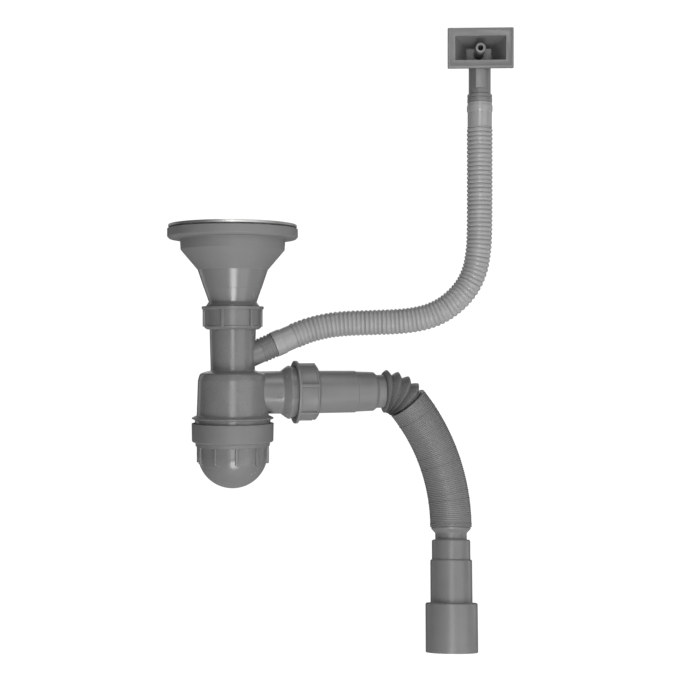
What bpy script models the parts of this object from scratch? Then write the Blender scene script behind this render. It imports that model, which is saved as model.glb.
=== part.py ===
"""Kitchen sink bottle trap: basket strainer waste, screw-on flask, flexible outlet and overflow.

The origin is the centre of the sink's drain hole, on top of the strainer's flange. +Z is up and
the outlet leaves the trap along +X. Profiles are written in millimetres.
"""
import math

import bmesh
import bpy
from mathutils import Matrix, Vector

MM = 0.001
GAP = 0.3  # between pieces that touch

# Facets of the turned pieces.
STEPS = 24
SMALL_STEPS = 20

# Outlet pipe, and the thread of both unions, which is set by the socket that it slides into.
PIPE_R = 20.5
PIPE_END_X = 147.0
PIPE_WALL = 2.2
RUNNING = 0.4  # between a thread and its nut
SOCKET_WALL = 3.3
THREAD_R = PIPE_R + RUNNING + SOCKET_WALL

# Strainer waste.
BOWL_R = 42.7
BOWL_T = 1.2
BOWL_DEPTH = 28.3
FLANGE_R = 60.5
FLANGE_T = 1.2
SEAT_TOP = 10.4
SEAT_DEPTH = 3.6
SEAT_R = BOWL_R - 5.3
SCREW_R = 3.0
SCREW_HEAD_R = 6.0
SCREW_HEAD_T = 2.4

# Funnel under the sink.
FUNNEL_WALL = 2.6
FUNNEL_TOP_R = BOWL_R + 4.3 + FUNNEL_WALL
FUNNEL_RIM_R = FLANGE_R + 1.0
FUNNEL_RIM_T = 9.5
GASKET_R = FLANGE_R - 1.5
GASKET_BORE_R = FUNNEL_TOP_R - FUNNEL_WALL
GASKET_T = 1.7
COLLAR_LENGTH = 10.2
CONE_LENGTH = 18.9
CONE_R = 33.0
THROAT_R = CONE_R - 6.0  # where the throat turns to its neck
THROAT_LENGTH = 30.2
NECK_R = THREAD_R - 1.6
RIM_Z = -FLANGE_T - GASKET_T - 2 * GAP
SHOULDER_Z = RIM_Z - FUNNEL_RIM_T - COLLAR_LENGTH
CONE_Z = SHOULDER_Z - CONE_LENGTH
NECK_Z = CONE_Z - THROAT_LENGTH
BOSS_R = 7.0
BOSS_TOP_Z = -BOWL_DEPTH - 4.9
BOSS_LENGTH = 11.5
VANE_T = 2.4
VANE_COUNT = 3
INSERT_R = SCREW_R + 1.0

# Union nuts, the same moulding on the inlet and the outlet.
NUT_LENGTH = 21.8
NUT_R = THREAD_R + RUNNING + 1.7
NUT_RIM_R = NUT_R + 2.9
NUT_RIM_T = 2.9
NUT_RIB_R = NUT_R + 2.2
NUT_RIB_W = 3.2
NUT_RIBS = 6
NUT_LIP_T = 3.2
WASHER_T = 1.0

# Inlet union, stacked up from the nut's lip.
INLET_NUT_TURN = 1.3  # degrees
INLET_NUT_TOP_Z = NECK_Z - 4.2
INLET_LIP_Z = INLET_NUT_TOP_Z - NUT_LENGTH + NUT_LIP_T
TUBE_FLANGE_T = 2.5
FLAT_GASKET_T = 2.4
TUBE_END_Z = INLET_LIP_Z + WASHER_T + TUBE_FLANGE_T + 2 * GAP
FUNNEL_END_Z = TUBE_END_Z + FLAT_GASKET_T + 2 * GAP

# Trap body.
TUBE_TOP_R = THREAD_R - 2.3
TUBE_LOW_R = TUBE_TOP_R - 1.1
TUBE_BORE_R = TUBE_LOW_R - 2.4
TUBE_LENGTH = 39.3  # below the nut
BODY_R = 33.9
BODY_WALL = 2.6
BODY_LENGTH = 44.3
BODY_THREAD_LENGTH = 18.1
DOME_Z = INLET_NUT_TOP_Z - NUT_LENGTH - TUBE_LENGTH
SKIRT_R = BODY_R + 4.5
SKIRT_Z = DOME_Z - BODY_LENGTH
BODY_END_Z = SKIRT_Z - BODY_THREAD_LENGTH
FLASK_THREAD_R = BODY_R + 1.7
DIP_TUBE_R = TUBE_BORE_R + 1.9

# Flask.
FLASK_RIM_Z = SKIRT_Z - 4.7
FLASK_COLLAR_LENGTH = 17.5
FLASK_COLLAR_R = FLASK_THREAD_R + RUNNING + 2.65
FLASK_BOWL_R = FLASK_THREAD_R - 2.7
FLASK_CENTRE_Z = BODY_END_Z - 15.2
FLASK_WALL = 2.2
FLASK_RIB_R = FLASK_BOWL_R + 1.6
FLASK_RIB_W = 3.2
FLASK_RIBS = 10
FLASK_RIB_TURN = 16.5  # degrees
FLASK_GASKET_T = 2.0
DIP_TUBE_END_Z = FLASK_CENTRE_Z - 12.8

# Outlet union, stacked back from the nut's lip.
OUTLET_Z = DOME_Z - 20.4
SPIGOT_R = THREAD_R - 3.8
SPIGOT_BORE_R = PIPE_R - 2.7
COLLAR_X = 46.5
COLLAR_R = THREAD_R + 1.2
SOCKET_X = COLLAR_X + 3.5
OUTLET_NUT_X = 58.8
OUTLET_NUT_TURN = -15.0  # degrees
CONE_GASKET_T = 3.5
OUTLET_WASHER_X = OUTLET_NUT_X + NUT_LENGTH - NUT_LIP_T - GAP - WASHER_T
SOCKET_END_X = OUTLET_WASHER_X - CONE_GASKET_T - 2 * GAP

# Flexible outlet: pitch and azimuth of its direction in degrees, at the end of each run.
ELBOW_LENGTH = 27.2
ELBOW_EXIT = (-50.5, -0.7)
ELBOW_FOLDS = 4
ELBOW_PEAK_R = 20.8
ELBOW_VALLEY_R = 16.4
ELBOW_BORE_R = ELBOW_VALLEY_R - 2.9
BELLOWS_LENGTH = 131.2
BELLOWS_EXIT = (-79.8, -105.4)
BELLOWS_R = 20.3
BELLOWS_BORE_R = BELLOWS_R - 4.1

# End adapter.
ADAPTER_NECK_R = 15.3
ADAPTER_NECK_LENGTH = 11.6
ADAPTER_STEPS = ((18.5, 19.0), (20.0, 41.0), (24.9, 47.4))  # radius, length
ADAPTER_WALL = 2.3

# Overflow branch, hose and head.
BRANCH_Z = DOME_Z + 7.3
BRANCH_PITCH = 24.0  # degrees
BRANCH_R = 11.2
BRANCH_RIB_R = BRANCH_R + 0.7
BRANCH_BORE_R = BRANCH_R - 2.6
BRANCH_LENGTH = 42.7
OVERFLOW_HOSE_R = 12.25
# The hose's route, from the middle of its lower end.
OVERFLOW_ROUTE = (
    (0.0, 0.0, 0.0),
    (11.7, 0.0, 5.0),
    (22.7, -0.1, 9.7),
    (35.7, -0.8, 14.5),
    (52.7, -3.0, 18.5),
    (70.7, -6.4, 20.5),
    (93.7, -11.7, 21.4),
    (115.7, -17.3, 22.3),
    (132.7, -22.0, 24.2),
    (147.9, -26.3, 28.2),
    (161.2, -30.1, 35.1),
    (172.9, -33.4, 45.1),
    (182.1, -36.0, 57.3),
    (188.3, -37.8, 72.2),
    (191.3, -38.7, 88.9),
    (192.4, -39.0, 106.9),
    (192.7, -39.0, 137.9),
    (192.7, -39.0, 170.9),
    (192.7, -39.0, 202.9),
    (192.7, -39.0, 230.9),
)
OVERFLOW_PARTING = 11  # the route point at the bend, where the hose is in two lengths
HEAD_TURN = -18.0  # degrees
HEAD_W = 62.2
HEAD_H = 38.2
HEAD_PLATE_T = 4.0
HEAD_MOUTH_W = 48.3
HEAD_MOUTH_H = 23.2
HEAD_FLOOR_W = 24.6
HEAD_FLOOR_H = 11.2
HEAD_DEPTH = 28.0
HEAD_WALL = 2.2
HEAD_FORWARD = 15.0  # from the riser's axis to the front face
HEAD_NECK_R = 10.45
HEAD_NECK_LENGTH = 24.6
HEAD_BORE_R = 7.6
HEAD_SPIGOT_R = 11.8
HEAD_SPIGOT_LENGTH = 7.4
HEAD_PAD_W = 10.2
HEAD_PAD_LENGTH = 17.0
HEAD_PAD_FORWARD = 12.0  # from the riser's axis to the pad's face
HEAD_BOSS_R = 4.8
HEAD_BOSS_BORE_R = 2.65


def clear_scene():
    """Remove every object and make the two collections."""
    for item in list(bpy.data.objects):
        bpy.data.objects.remove(item)
    made = []
    for name in ("bottle_trap", "cutters"):
        made.append(bpy.data.collections.new(name))
        bpy.context.scene.collection.children.link(made[-1])
    return made


PARTS, CUTTERS = clear_scene()


def material(name, colour, roughness, metallic=0.0):
    """A Principled material."""
    made = bpy.data.materials.new(name)
    made.use_nodes = True
    shader = made.node_tree.nodes["Principled BSDF"]
    shader.inputs["Base Color"].default_value = (*colour, 1.0)
    shader.inputs["Roughness"].default_value = roughness
    shader.inputs["Metallic"].default_value = metallic
    return made


GREY = material("grey_polypropylene", (0.21, 0.21, 0.21), 0.38)
PALE = material("pale_hose", (0.34, 0.34, 0.34), 0.42)
STEEL = material("stainless_steel", (0.60, 0.60, 0.59), 0.28, 1.0)
BRASS = material("brass", (0.72, 0.52, 0.24), 0.35, 1.0)
RUBBER = material("black_rubber", (0.03, 0.03, 0.03), 0.75)
WASHER = material("washer_plastic", (0.55, 0.55, 0.54), 0.5)


def add(name, mesh, finish, cutter=False):
    """Put a mesh in its collection as an object of its own."""
    made = bpy.data.objects.new(name, mesh)
    (CUTTERS if cutter else PARTS).objects.link(made)
    if cutter:
        made.hide_render = True
        made.display_type = "WIRE"
    if finish:
        made.data.materials.append(finish)
    return made


def to_mesh(source):
    """Replace an object's data and modifiers with its evaluated mesh, shaded smooth."""
    bpy.context.view_layer.update()
    evaluated = source.evaluated_get(bpy.context.evaluated_depsgraph_get())
    mesh = bpy.data.meshes.new_from_object(evaluated)
    made = bpy.data.objects.new(source.name + "_mesh", mesh)
    made.matrix_world = source.matrix_world
    for collection in source.users_collection:
        collection.objects.link(made)
    made.hide_render = source.hide_render
    made.display_type = source.display_type
    name = source.name
    bpy.data.objects.remove(source)
    made.name = name
    welded = bmesh.new()
    welded.from_mesh(mesh)
    bmesh.ops.remove_doubles(welded, verts=welded.verts, dist=0.00001)
    welded.to_mesh(mesh)
    welded.free()
    mesh.shade_smooth()
    mesh.set_sharp_from_angle(angle=math.radians(35))
    return made


def turned(name, profile, finish=None, steps=STEPS, cutter=False):
    """Turn a profile of (r, z) about Z. It runs down its outer side, and closes unless on the axis."""
    mesh = bpy.data.meshes.new(name)
    edges = [(k, k + 1) for k in range(len(profile) - 1)]
    if profile[0][0] > 0:
        edges.append((len(profile) - 1, 0))
    mesh.from_pydata([(r * MM, 0.0, z * MM) for r, z in profile], edges, [])
    made = add(name, mesh, finish, cutter)
    screw = made.modifiers.new("turn", "SCREW")
    screw.axis = "Z"
    screw.steps = screw.render_steps = steps
    screw.use_merge_vertices = True
    screw.merge_threshold = 0.00001
    return to_mesh(made)


def ring(name, inner, outer, low, high, finish, steps=SMALL_STEPS):
    """A plain flat ring."""
    return turned(name, [(outer, high), (outer, low), (inner, low), (inner, high)], finish, steps)


def rod(name, radius, low, high, steps=SMALL_STEPS):
    """A round cutter along Z."""
    return turned(name, [(0, high), (radius, high), (radius, low), (0, low)], None, steps, True)


def arc(centre_z, radius, start, end, count):
    """Points (r, z) on an arc about a point on the axis, by angle from +Z in degrees."""
    angles = [math.radians(start + (end - start) * k / count) for k in range(count + 1)]
    return [(radius * math.sin(a), centre_z + radius * math.cos(a)) for a in angles]


def boolean(target, tool, operation):
    """Cut, join or keep with an exact Boolean."""
    made = target.modifiers.new(tool.name, "BOOLEAN")
    made.operation = operation
    made.object = tool
    made.solver = "EXACT"


def boxes(name, places):
    """One operand made of boxes: each is (centre, size, turn about Z in degrees, about the origin)."""
    mesh = bpy.data.meshes.new(name)
    shape = bmesh.new()
    for centre, size, turn in places:
        placed = (
            Matrix.Rotation(math.radians(turn), 4, "Z")
            @ Matrix.Translation(Vector(centre) * MM)
            @ Matrix.Diagonal((*(Vector(size) * MM), 1.0))
        )
        bmesh.ops.create_cube(shape, size=1.0, matrix=placed)
    shape.to_mesh(mesh)
    shape.free()
    return add(name, mesh, None, True)


def ribs(name, count, inner, outer, width, low, high, first=0.0):
    """Upright ribs round an axis."""
    centre = ((inner + outer) / 2, 0.0, (low + high) / 2)
    size = (outer - inner, width, high - low)
    return boxes(name, [(centre, size, first + 360.0 * k / count) for k in range(count)])


def holes(name, rings, low, high):
    """Round cutters in rings: each ring is (count, radius of the ring, radius of a hole)."""
    mesh = bpy.data.meshes.new(name)
    shape = bmesh.new()
    for count, ring_r, hole_r in rings:
        for k in range(count):
            angle = 2 * math.pi * k / count
            place = Vector((ring_r * math.cos(angle), ring_r * math.sin(angle), (low + high) / 2))
            bmesh.ops.create_cone(
                shape,
                cap_ends=True,
                segments=6,
                radius1=hole_r * MM,
                radius2=hole_r * MM,
                depth=(high - low) * MM,
                matrix=Matrix.Translation(place * MM),
            )
    shape.to_mesh(mesh)
    shape.free()
    return add(name, mesh, None, True)


def direction(pitch, azimuth):
    """The unit vector at a pitch and an azimuth in degrees."""
    pitch, azimuth = math.radians(pitch), math.radians(azimuth)
    level = math.cos(pitch)
    return Vector((level * math.cos(azimuth), level * math.sin(azimuth), math.sin(pitch)))


def bend(start, first, last, length, count):
    """Points along an even bend that leaves start along first and ends along last."""
    points = [Vector(start)]
    for k in range(count):
        heading = first.slerp(last, k / (count - 1))
        points.append(points[-1] + heading * (length / count))
    return points


def spline(route, spacing):
    """A smooth curve through a route's points, read at an even spacing per span."""
    ends = [2 * route[0] - route[1], *route, 2 * route[-1] - route[-2]]
    points = [route[0]]
    for a, b, c, d in zip(ends, ends[1:], ends[2:], ends[3:]):
        count = max(1, round((c - b).length / spacing))
        for k in range(1, count + 1):
            t = k / count
            points.append(
                0.5 * (2 * b + (c - a) * t + (2 * a - 5 * b + 4 * c - d) * t**2)
                + 0.5 * (3 * b - a - 3 * c + d) * t**3
            )
    return points


def tube(name, points, radius, finish, resolution, scale=None, cutter=False):
    """A capped round tube along points, with an optional share of the radius at each."""
    curve = bpy.data.curves.new(name, "CURVE")
    curve.dimensions = "3D"
    curve.twist_mode = "MINIMUM"
    curve.bevel_depth = radius * MM
    curve.bevel_resolution = resolution
    curve.use_fill_caps = True
    line = curve.splines.new("POLY")
    line.points.add(len(points) - 1)
    for k, (place, point) in enumerate(zip(line.points, points)):
        place.co = (*(point * MM), 1.0)
        place.radius = scale[k] if scale else 1.0
    return add(name, curve, finish, cutter)


def longer(points, reach):
    """The points with both ends drawn out."""
    first = points[0] + (points[0] - points[1]).normalized() * reach
    last = points[-1] + (points[-1] - points[-2]).normalized() * reach
    return [first, *points[1:-1], last]


def axis_empty(name, place, along):
    """An empty with its +Z along a direction."""
    made = bpy.data.objects.new(name, None)
    PARTS.objects.link(made)
    made.location = Vector(place) * MM
    made.rotation_euler = Vector(along).to_track_quat("Z", "Y").to_euler()
    return made


def build_strainer():
    """Pressed steel bowl, its clamping screw and the gasket under its flange."""
    seat_end = SEAT_TOP + SEAT_DEPTH
    inner = BOWL_R - BOWL_T
    bowl = turned(
        "strainer_bowl",
        [
            (FLANGE_R, -0.3),
            (FLANGE_R, -FLANGE_T),
            (BOWL_R + 0.5, -FLANGE_T),
            (BOWL_R, -SEAT_TOP - 0.6),
            (SEAT_R + BOWL_T, -seat_end - 0.5),
            (SEAT_R, -BOWL_DEPTH + 3.8),
            (SEAT_R - 3.0, -BOWL_DEPTH),
            (SCREW_R + GAP, -BOWL_DEPTH),
            (SCREW_R + GAP, -BOWL_DEPTH + BOWL_T),
            (SEAT_R - 3.5, -BOWL_DEPTH + BOWL_T),
            (SEAT_R - BOWL_T, -BOWL_DEPTH + 4.3),
            (SEAT_R, -seat_end),
            (inner, -SEAT_TOP),
            (inner + 0.5, -0.8),
            (BOWL_R + 0.5, 0.0),
            (FLANGE_R - 0.6, 0.0),
        ],
        STEEL,
    )
    boolean(bowl, holes("bowl_holes", [(8, 21.0, 5.2)], -BOWL_DEPTH - 1, -BOWL_DEPTH + 3), "DIFFERENCE")
    ring("flange_gasket", GASKET_BORE_R, GASKET_R, RIM_Z + GAP, -FLANGE_T - GAP, RUBBER, STEPS)
    head_z = -BOWL_DEPTH + BOWL_T + GAP
    tip_z = BOSS_TOP_Z - BOSS_LENGTH - 1.1
    turned(
        "clamp_screw",
        [
            (0, head_z + SCREW_HEAD_T),
            (SCREW_HEAD_R - 1.2, head_z + SCREW_HEAD_T),
            (SCREW_HEAD_R, head_z + 0.9),
            (SCREW_HEAD_R, head_z),
            (SCREW_R, head_z),
            (SCREW_R, tip_z + 0.8),
            (SCREW_R - 0.8, tip_z),
            (0, tip_z),
        ],
        STEEL,
        16,
    )


def build_basket():
    """Lift-out strainer basket with its knob and the seal that plugs the bowl."""
    seat_end = SEAT_TOP + SEAT_DEPTH
    seal_r = BOWL_R - BOWL_T - 0.9
    seal_low = SEAT_TOP + 0.4
    wall_r = SEAT_R - 1.2
    rim_z = -6.7
    floor_z = -22.6
    basket = turned(
        "basket",
        [
            (seal_r - 0.4, rim_z),
            (seal_r - 0.4, rim_z - 1.0),
            (wall_r, rim_z - 1.0),
            (wall_r - 0.2, -seat_end + 0.5),
            (wall_r - 2.0, floor_z + 1.6),
            (wall_r - 3.7, floor_z),
            (SCREW_R + GAP, floor_z),
            (SCREW_R + GAP, floor_z + 1.0),
            (wall_r - 4.1, floor_z + 1.0),
            (wall_r - 3.0, floor_z + 2.0),
            (wall_r - 1.2, -seat_end + 0.9),
            (wall_r - 1.0, rim_z - 0.6),
            (wall_r - 0.2, rim_z),
        ],
        STEEL,
    )
    grid = holes("basket_holes", [(6, 12.0, 2.6), (8, 23.0, 3.4)], floor_z - 1, floor_z + 3)
    boolean(basket, grid, "DIFFERENCE")
    turned(
        "basket_seal",
        [
            (seal_r, rim_z - 1.0 - GAP),
            (seal_r, -seal_low),
            (SEAT_R + 0.1, -seat_end + 0.5),
            (wall_r + GAP, -seat_end + 0.5),
            (wall_r + GAP, rim_z - 1.0 - GAP),
        ],
        RUBBER,
    )
    knob_z = floor_z + 1.0 + GAP
    turned(
        "basket_knob",
        [
            (0, -2.2),
            (6.5, -2.2),
            (9.0, -3.6),
            (9.0, -5.2),
            (4.2, -7.4),
            (3.4, -10.0),
            (3.4, knob_z + 1.8),
            (6.0, knob_z + 1.0),
            (6.0, knob_z),
            (SCREW_R, knob_z),
            (SCREW_R, floor_z - 0.6),
            (0, floor_z - 0.6),
        ],
        STEEL,
        16,
    )


def build_funnel():
    """Moulded waste funnel with the bridge that the clamping screw bites on."""
    rim_low = RIM_Z - FUNNEL_RIM_T
    wall = FUNNEL_WALL
    bore_r = NECK_R - 3.0
    funnel = turned(
        "waste_funnel",
        [
            (FUNNEL_RIM_R, RIM_Z),
            (FUNNEL_RIM_R, rim_low + 1.8),
            (FUNNEL_RIM_R - 0.6, rim_low + 0.5),
            (FUNNEL_RIM_R - 1.9, rim_low),
            (FUNNEL_TOP_R, rim_low),
            (FUNNEL_TOP_R - 0.6, SHOULDER_Z),
            (CONE_R, CONE_Z),
            (THROAT_R, CONE_Z - 17.5),
            (NECK_R + 0.5, NECK_Z + 1.6),
            (NECK_R, NECK_Z),
            (THREAD_R + 0.7, NECK_Z - 3.4),
            (THREAD_R + 0.7, NECK_Z - 3.9),
            (THREAD_R, NECK_Z - 4.3),
            (THREAD_R, FUNNEL_END_Z),
            (bore_r, FUNNEL_END_Z),
            (bore_r, NECK_Z - 3.4),
            (bore_r + 1.2, NECK_Z + 3.6),
            (THROAT_R - wall, CONE_Z - 17.9),
            (CONE_R - wall, CONE_Z - 0.9),
            (FUNNEL_TOP_R - wall, SHOULDER_Z - 0.6),
            (FUNNEL_TOP_R - wall + 0.2, RIM_Z),
        ],
        GREY,
    )
    top = BOSS_TOP_Z
    low = BOSS_TOP_Z - BOSS_LENGTH
    vanes = ribs("funnel_vanes", VANE_COUNT, BOSS_R - 2.0, FUNNEL_TOP_R, VANE_T, low, top - 1.0)
    # The vanes end inside the cone's wall.
    core = turned(
        "funnel_core",
        [
            (0, SHOULDER_Z),
            (FUNNEL_TOP_R - wall / 2, SHOULDER_Z),
            (CONE_R - wall / 2, CONE_Z - 0.5),
            (THROAT_R - wall / 2, CONE_Z - 17.6),
            (0, CONE_Z - 17.6),
        ],
        cutter=True,
    )
    boolean(vanes, core, "INTERSECT")
    boolean(funnel, vanes, "UNION")
    boolean(funnel, rod("funnel_boss", BOSS_R, low, top), "UNION")
    boolean(funnel, rod("funnel_boss_bore", INSERT_R + GAP, low - 1, top + 1, 16), "DIFFERENCE")
    turned(
        "funnel_insert",
        [
            (6.2, top + GAP + 1.1),
            (6.2, top + GAP),
            (INSERT_R, top + GAP),
            (INSERT_R, low),
            (SCREW_R + GAP, low),
            (SCREW_R + GAP, top + GAP + 1.1),
        ],
        BRASS,
        16,
    )


def union_nut(name, bore_r, first_rib):
    """A ribbed union nut, its open end at its origin and its lip below."""
    lip_z = -NUT_LENGTH + NUT_LIP_T
    nut = turned(
        name,
        [
            (NUT_RIM_R, -0.4),
            (NUT_RIM_R, -NUT_RIM_T + 0.4),
            (NUT_R, -NUT_RIM_T),
            (NUT_R, -NUT_LENGTH + 1.8),
            (NUT_R - 0.6, -NUT_LENGTH + 0.5),
            (NUT_R - 1.9, -NUT_LENGTH),
            (bore_r, -NUT_LENGTH),
            (bore_r, lip_z),
            (THREAD_R + RUNNING, lip_z),
            (THREAD_R + RUNNING, -0.8),
            (THREAD_R + RUNNING + 0.8, 0.0),
            (NUT_RIM_R - 0.6, 0.0),
        ],
        GREY,
    )
    rib = (NUT_R - 0.8, NUT_RIB_R, NUT_RIB_W, -NUT_LENGTH + 3.8, -NUT_RIM_T + 0.6)
    boolean(nut, ribs(name + "_ribs", NUT_RIBS, *rib, first_rib), "UNION")
    return nut


def build_inlet_union():
    """Nut, slip washer and flat gasket that clamp the trap's tube to the funnel."""
    nut = union_nut("inlet_nut", TUBE_TOP_R + 0.5, INLET_NUT_TURN)
    nut.location.z = INLET_NUT_TOP_Z * MM
    bpy.data.objects["inlet_nut_ribs"].location.z = INLET_NUT_TOP_Z * MM
    ring("inlet_gasket", NECK_R - 2.8, THREAD_R, TUBE_END_Z + GAP, FUNNEL_END_Z - GAP, RUBBER, STEPS)
    washer_low = INLET_LIP_Z + GAP
    washer_top = washer_low + WASHER_T
    ring("inlet_slip_washer", TUBE_TOP_R + 0.5, THREAD_R, washer_low, washer_top, WASHER, STEPS)


def build_trap_body():
    """One moulding: inlet tube, dome, dip tube, outlet spigot and overflow branch."""
    top = TUBE_END_Z
    wall_r = BODY_R - BODY_WALL
    body = turned(
        "trap_body",
        [
            (THREAD_R, top),
            (THREAD_R, top - TUBE_FLANGE_T),
            (TUBE_TOP_R, top - TUBE_FLANGE_T),
            (TUBE_LOW_R, DOME_Z + 0.6),
            (TUBE_LOW_R + 5.6, DOME_Z - 0.8),
            (BODY_R - 3.6, DOME_Z - 2.4),
            (BODY_R - 1.9, DOME_Z - 4.9),
            (BODY_R - 1.1, DOME_Z - 8.6),
            (BODY_R, SKIRT_Z + 2.6),
            (SKIRT_R, SKIRT_Z + 0.4),
            (SKIRT_R, SKIRT_Z - 0.4),
            (FLASK_THREAD_R, SKIRT_Z - 1.6),
            (FLASK_THREAD_R, BODY_END_Z),
            (FLASK_THREAD_R - 3.0, BODY_END_Z),
            (wall_r, SKIRT_Z + 2.6),
            (wall_r - 0.8, DOME_Z - 9.4),
            (BODY_R - 4.2, DOME_Z - 6.4),
            (BODY_R - 5.8, DOME_Z - 4.2),
            (DIP_TUBE_R, DOME_Z - 3.4),
            (DIP_TUBE_R - 1.0, DIP_TUBE_END_Z),
            (TUBE_BORE_R - 0.9, DIP_TUBE_END_Z),
            (TUBE_BORE_R, top),
        ],
        GREY,
    )
    spigot = turned(
        "outlet_spigot",
        [
            (0, SOCKET_END_X),
            (THREAD_R - 0.6, SOCKET_END_X),
            (THREAD_R, SOCKET_END_X - 0.6),
            (THREAD_R, COLLAR_X + 8.8),
            (COLLAR_R, COLLAR_X + 8.2),
            (COLLAR_R, COLLAR_X + 6.4),
            (THREAD_R - 0.6, COLLAR_X + 3.2),
            (SPIGOT_R, COLLAR_X - 0.6),
            (SPIGOT_R - 0.4, DIP_TUBE_R),
            (0, DIP_TUBE_R),
        ],
        cutter=True,
    )
    outlet_bore = turned(
        "outlet_bore",
        [
            (0, SOCKET_END_X + 1),
            (PIPE_R + RUNNING, SOCKET_END_X + 1),
            (PIPE_R + RUNNING, SOCKET_X),
            (SPIGOT_BORE_R, SOCKET_X),
            (SPIGOT_BORE_R, DIP_TUBE_R + 1.0),
            (0, DIP_TUBE_R + 1.0),
        ],
        steps=SMALL_STEPS,
        cutter=True,
    )
    for piece in (spigot, outlet_bore):
        piece.location.z = OUTLET_Z * MM
        piece.rotation_euler.y = math.radians(90)
    ridges = []
    for k in range(4):
        ridge_z = BRANCH_LENGTH - 3.6 * k
        ridges += [
            (BRANCH_R, ridge_z - 0.1),
            (BRANCH_RIB_R, ridge_z - 0.5),
            (BRANCH_RIB_R, ridge_z - 1.2),
        ]
    profile = [(0, BRANCH_LENGTH), *ridges, (BRANCH_R, BRANCH_LENGTH - 13.4), (BRANCH_R, 0.0), (0, 0.0)]
    branch = turned("overflow_branch", profile, None, SMALL_STEPS, True)
    branch_bore = rod("branch_bore", BRANCH_BORE_R, 8.0, BRANCH_LENGTH + 1)
    for piece in (branch, branch_bore):
        piece.location.z = BRANCH_Z * MM
        piece.rotation_euler.y = math.radians(90 - BRANCH_PITCH)
    # The spigot and the branch end inside the walls that they grow from.
    dome_core = turned(
        "dome_core",
        [
            (0, DOME_Z - 2.8),
            (DIP_TUBE_R + 3.7, DOME_Z - 2.8),
            (BODY_R - 4.6, DOME_Z - 4.7),
            (wall_r - 0.3, DOME_Z - 9.2),
            (wall_r + 0.5, SKIRT_Z),
            (wall_r + 0.5, BODY_END_Z),
            (0, BODY_END_Z),
        ],
        cutter=True,
    )
    tube_core = rod("tube_core", (TUBE_LOW_R + TUBE_BORE_R) / 2, BODY_END_Z, top, STEPS)
    boolean(spigot, dome_core, "DIFFERENCE")
    boolean(branch, tube_core, "DIFFERENCE")
    boolean(body, spigot, "UNION")
    boolean(body, branch, "UNION")
    boolean(body, outlet_bore, "DIFFERENCE")
    boolean(body, branch_bore, "DIFFERENCE")


def build_flask():
    """Screw-on flask with its finger ribs, and the gasket that seals it."""
    ledge_z = BODY_END_Z - 2 * GAP - FLASK_GASKET_T
    collar_low = FLASK_RIM_Z - FLASK_COLLAR_LENGTH
    inner_r = FLASK_BOWL_R - FLASK_WALL
    flask = turned(
        "flask",
        [
            (0, FLASK_CENTRE_Z - inner_r),
            *arc(FLASK_CENTRE_Z, inner_r, 180, 90, 7)[1:],
            (inner_r, ledge_z),
            (FLASK_THREAD_R + RUNNING, ledge_z),
            (FLASK_THREAD_R + RUNNING, FLASK_RIM_Z),
            (FLASK_COLLAR_R - 0.4, FLASK_RIM_Z),
            (FLASK_COLLAR_R, FLASK_RIM_Z - 0.6),
            (FLASK_COLLAR_R - 0.8, collar_low),
            (FLASK_RIB_R + 0.4, collar_low - 4.2),
            (FLASK_BOWL_R, collar_low - 4.6),
            *arc(FLASK_CENTRE_Z, FLASK_BOWL_R, 90, 180, 8)[:-1],
            (0, FLASK_CENTRE_Z - FLASK_BOWL_R),
        ],
        GREY,
    )
    rib = (FLASK_BOWL_R - 1.3, FLASK_RIB_R, FLASK_RIB_W, FLASK_CENTRE_Z - 9.0, collar_low - 4.0)
    boolean(flask, ribs("flask_ribs", FLASK_RIBS, *rib, FLASK_RIB_TURN), "UNION")
    gasket_top = BODY_END_Z - GAP
    gasket_low = gasket_top - FLASK_GASKET_T
    ring("flask_gasket", inner_r + 0.6, FLASK_THREAD_R, gasket_low, gasket_top, RUBBER, STEPS)


def build_outlet_union():
    """Nut, slip washer and cone gasket that grip the outlet pipe."""
    axis = axis_empty("outlet_axis", (0, 0, OUTLET_Z), (1, 0, 0))
    pipe_hole_r = PIPE_R + RUNNING
    nut = union_nut("outlet_nut", pipe_hole_r, OUTLET_NUT_TURN)
    washer_x = OUTLET_WASHER_X
    washer = ring("outlet_slip_washer", pipe_hole_r, THREAD_R, washer_x, washer_x + WASHER_T, WASHER, STEPS)
    cone_x = SOCKET_END_X + GAP
    cone_end = cone_x + CONE_GASKET_T
    cone = turned(
        "outlet_cone_gasket",
        [
            (THREAD_R, cone_end),
            (THREAD_R, cone_x + 1.0),
            (THREAD_R - 0.8, cone_x),
            (PIPE_R + GAP, cone_x),
            (PIPE_R + GAP, cone_end),
        ],
        RUBBER,
    )
    for piece in (washer, cone):
        piece.parent = axis
    for piece in (nut, bpy.data.objects["outlet_nut_ribs"]):
        piece.parent = axis
        piece.location.z = OUTLET_NUT_X * MM
        piece.rotation_euler.x = math.radians(180)
    return axis


def build_outlet_pipe(axis):
    """Smooth outlet pipe with a step and a neck."""
    inner_x = SOCKET_X + 0.5
    step_x = PIPE_END_X - 29.0
    neck_x = PIPE_END_X - 7.2
    neck_r = ELBOW_VALLEY_R - 0.4
    pipe = turned(
        "outlet_pipe",
        [
            (neck_r, PIPE_END_X),
            (neck_r, neck_x),
            (PIPE_R - 1.9, neck_x - 3.6),
            (PIPE_R - 1.1, step_x + 0.6),
            (PIPE_R - 0.4, step_x),
            (PIPE_R, inner_x + 1.0),
            (PIPE_R - 0.8, inner_x),
            (PIPE_R - PIPE_WALL, inner_x),
            (PIPE_R - PIPE_WALL - 0.3, step_x - 1.0),
            (PIPE_R - PIPE_WALL - 1.6, neck_x - 4.6),
            (ELBOW_BORE_R, neck_x),
            (ELBOW_BORE_R, PIPE_END_X),
        ],
        GREY,
    )
    pipe.parent = axis


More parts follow.
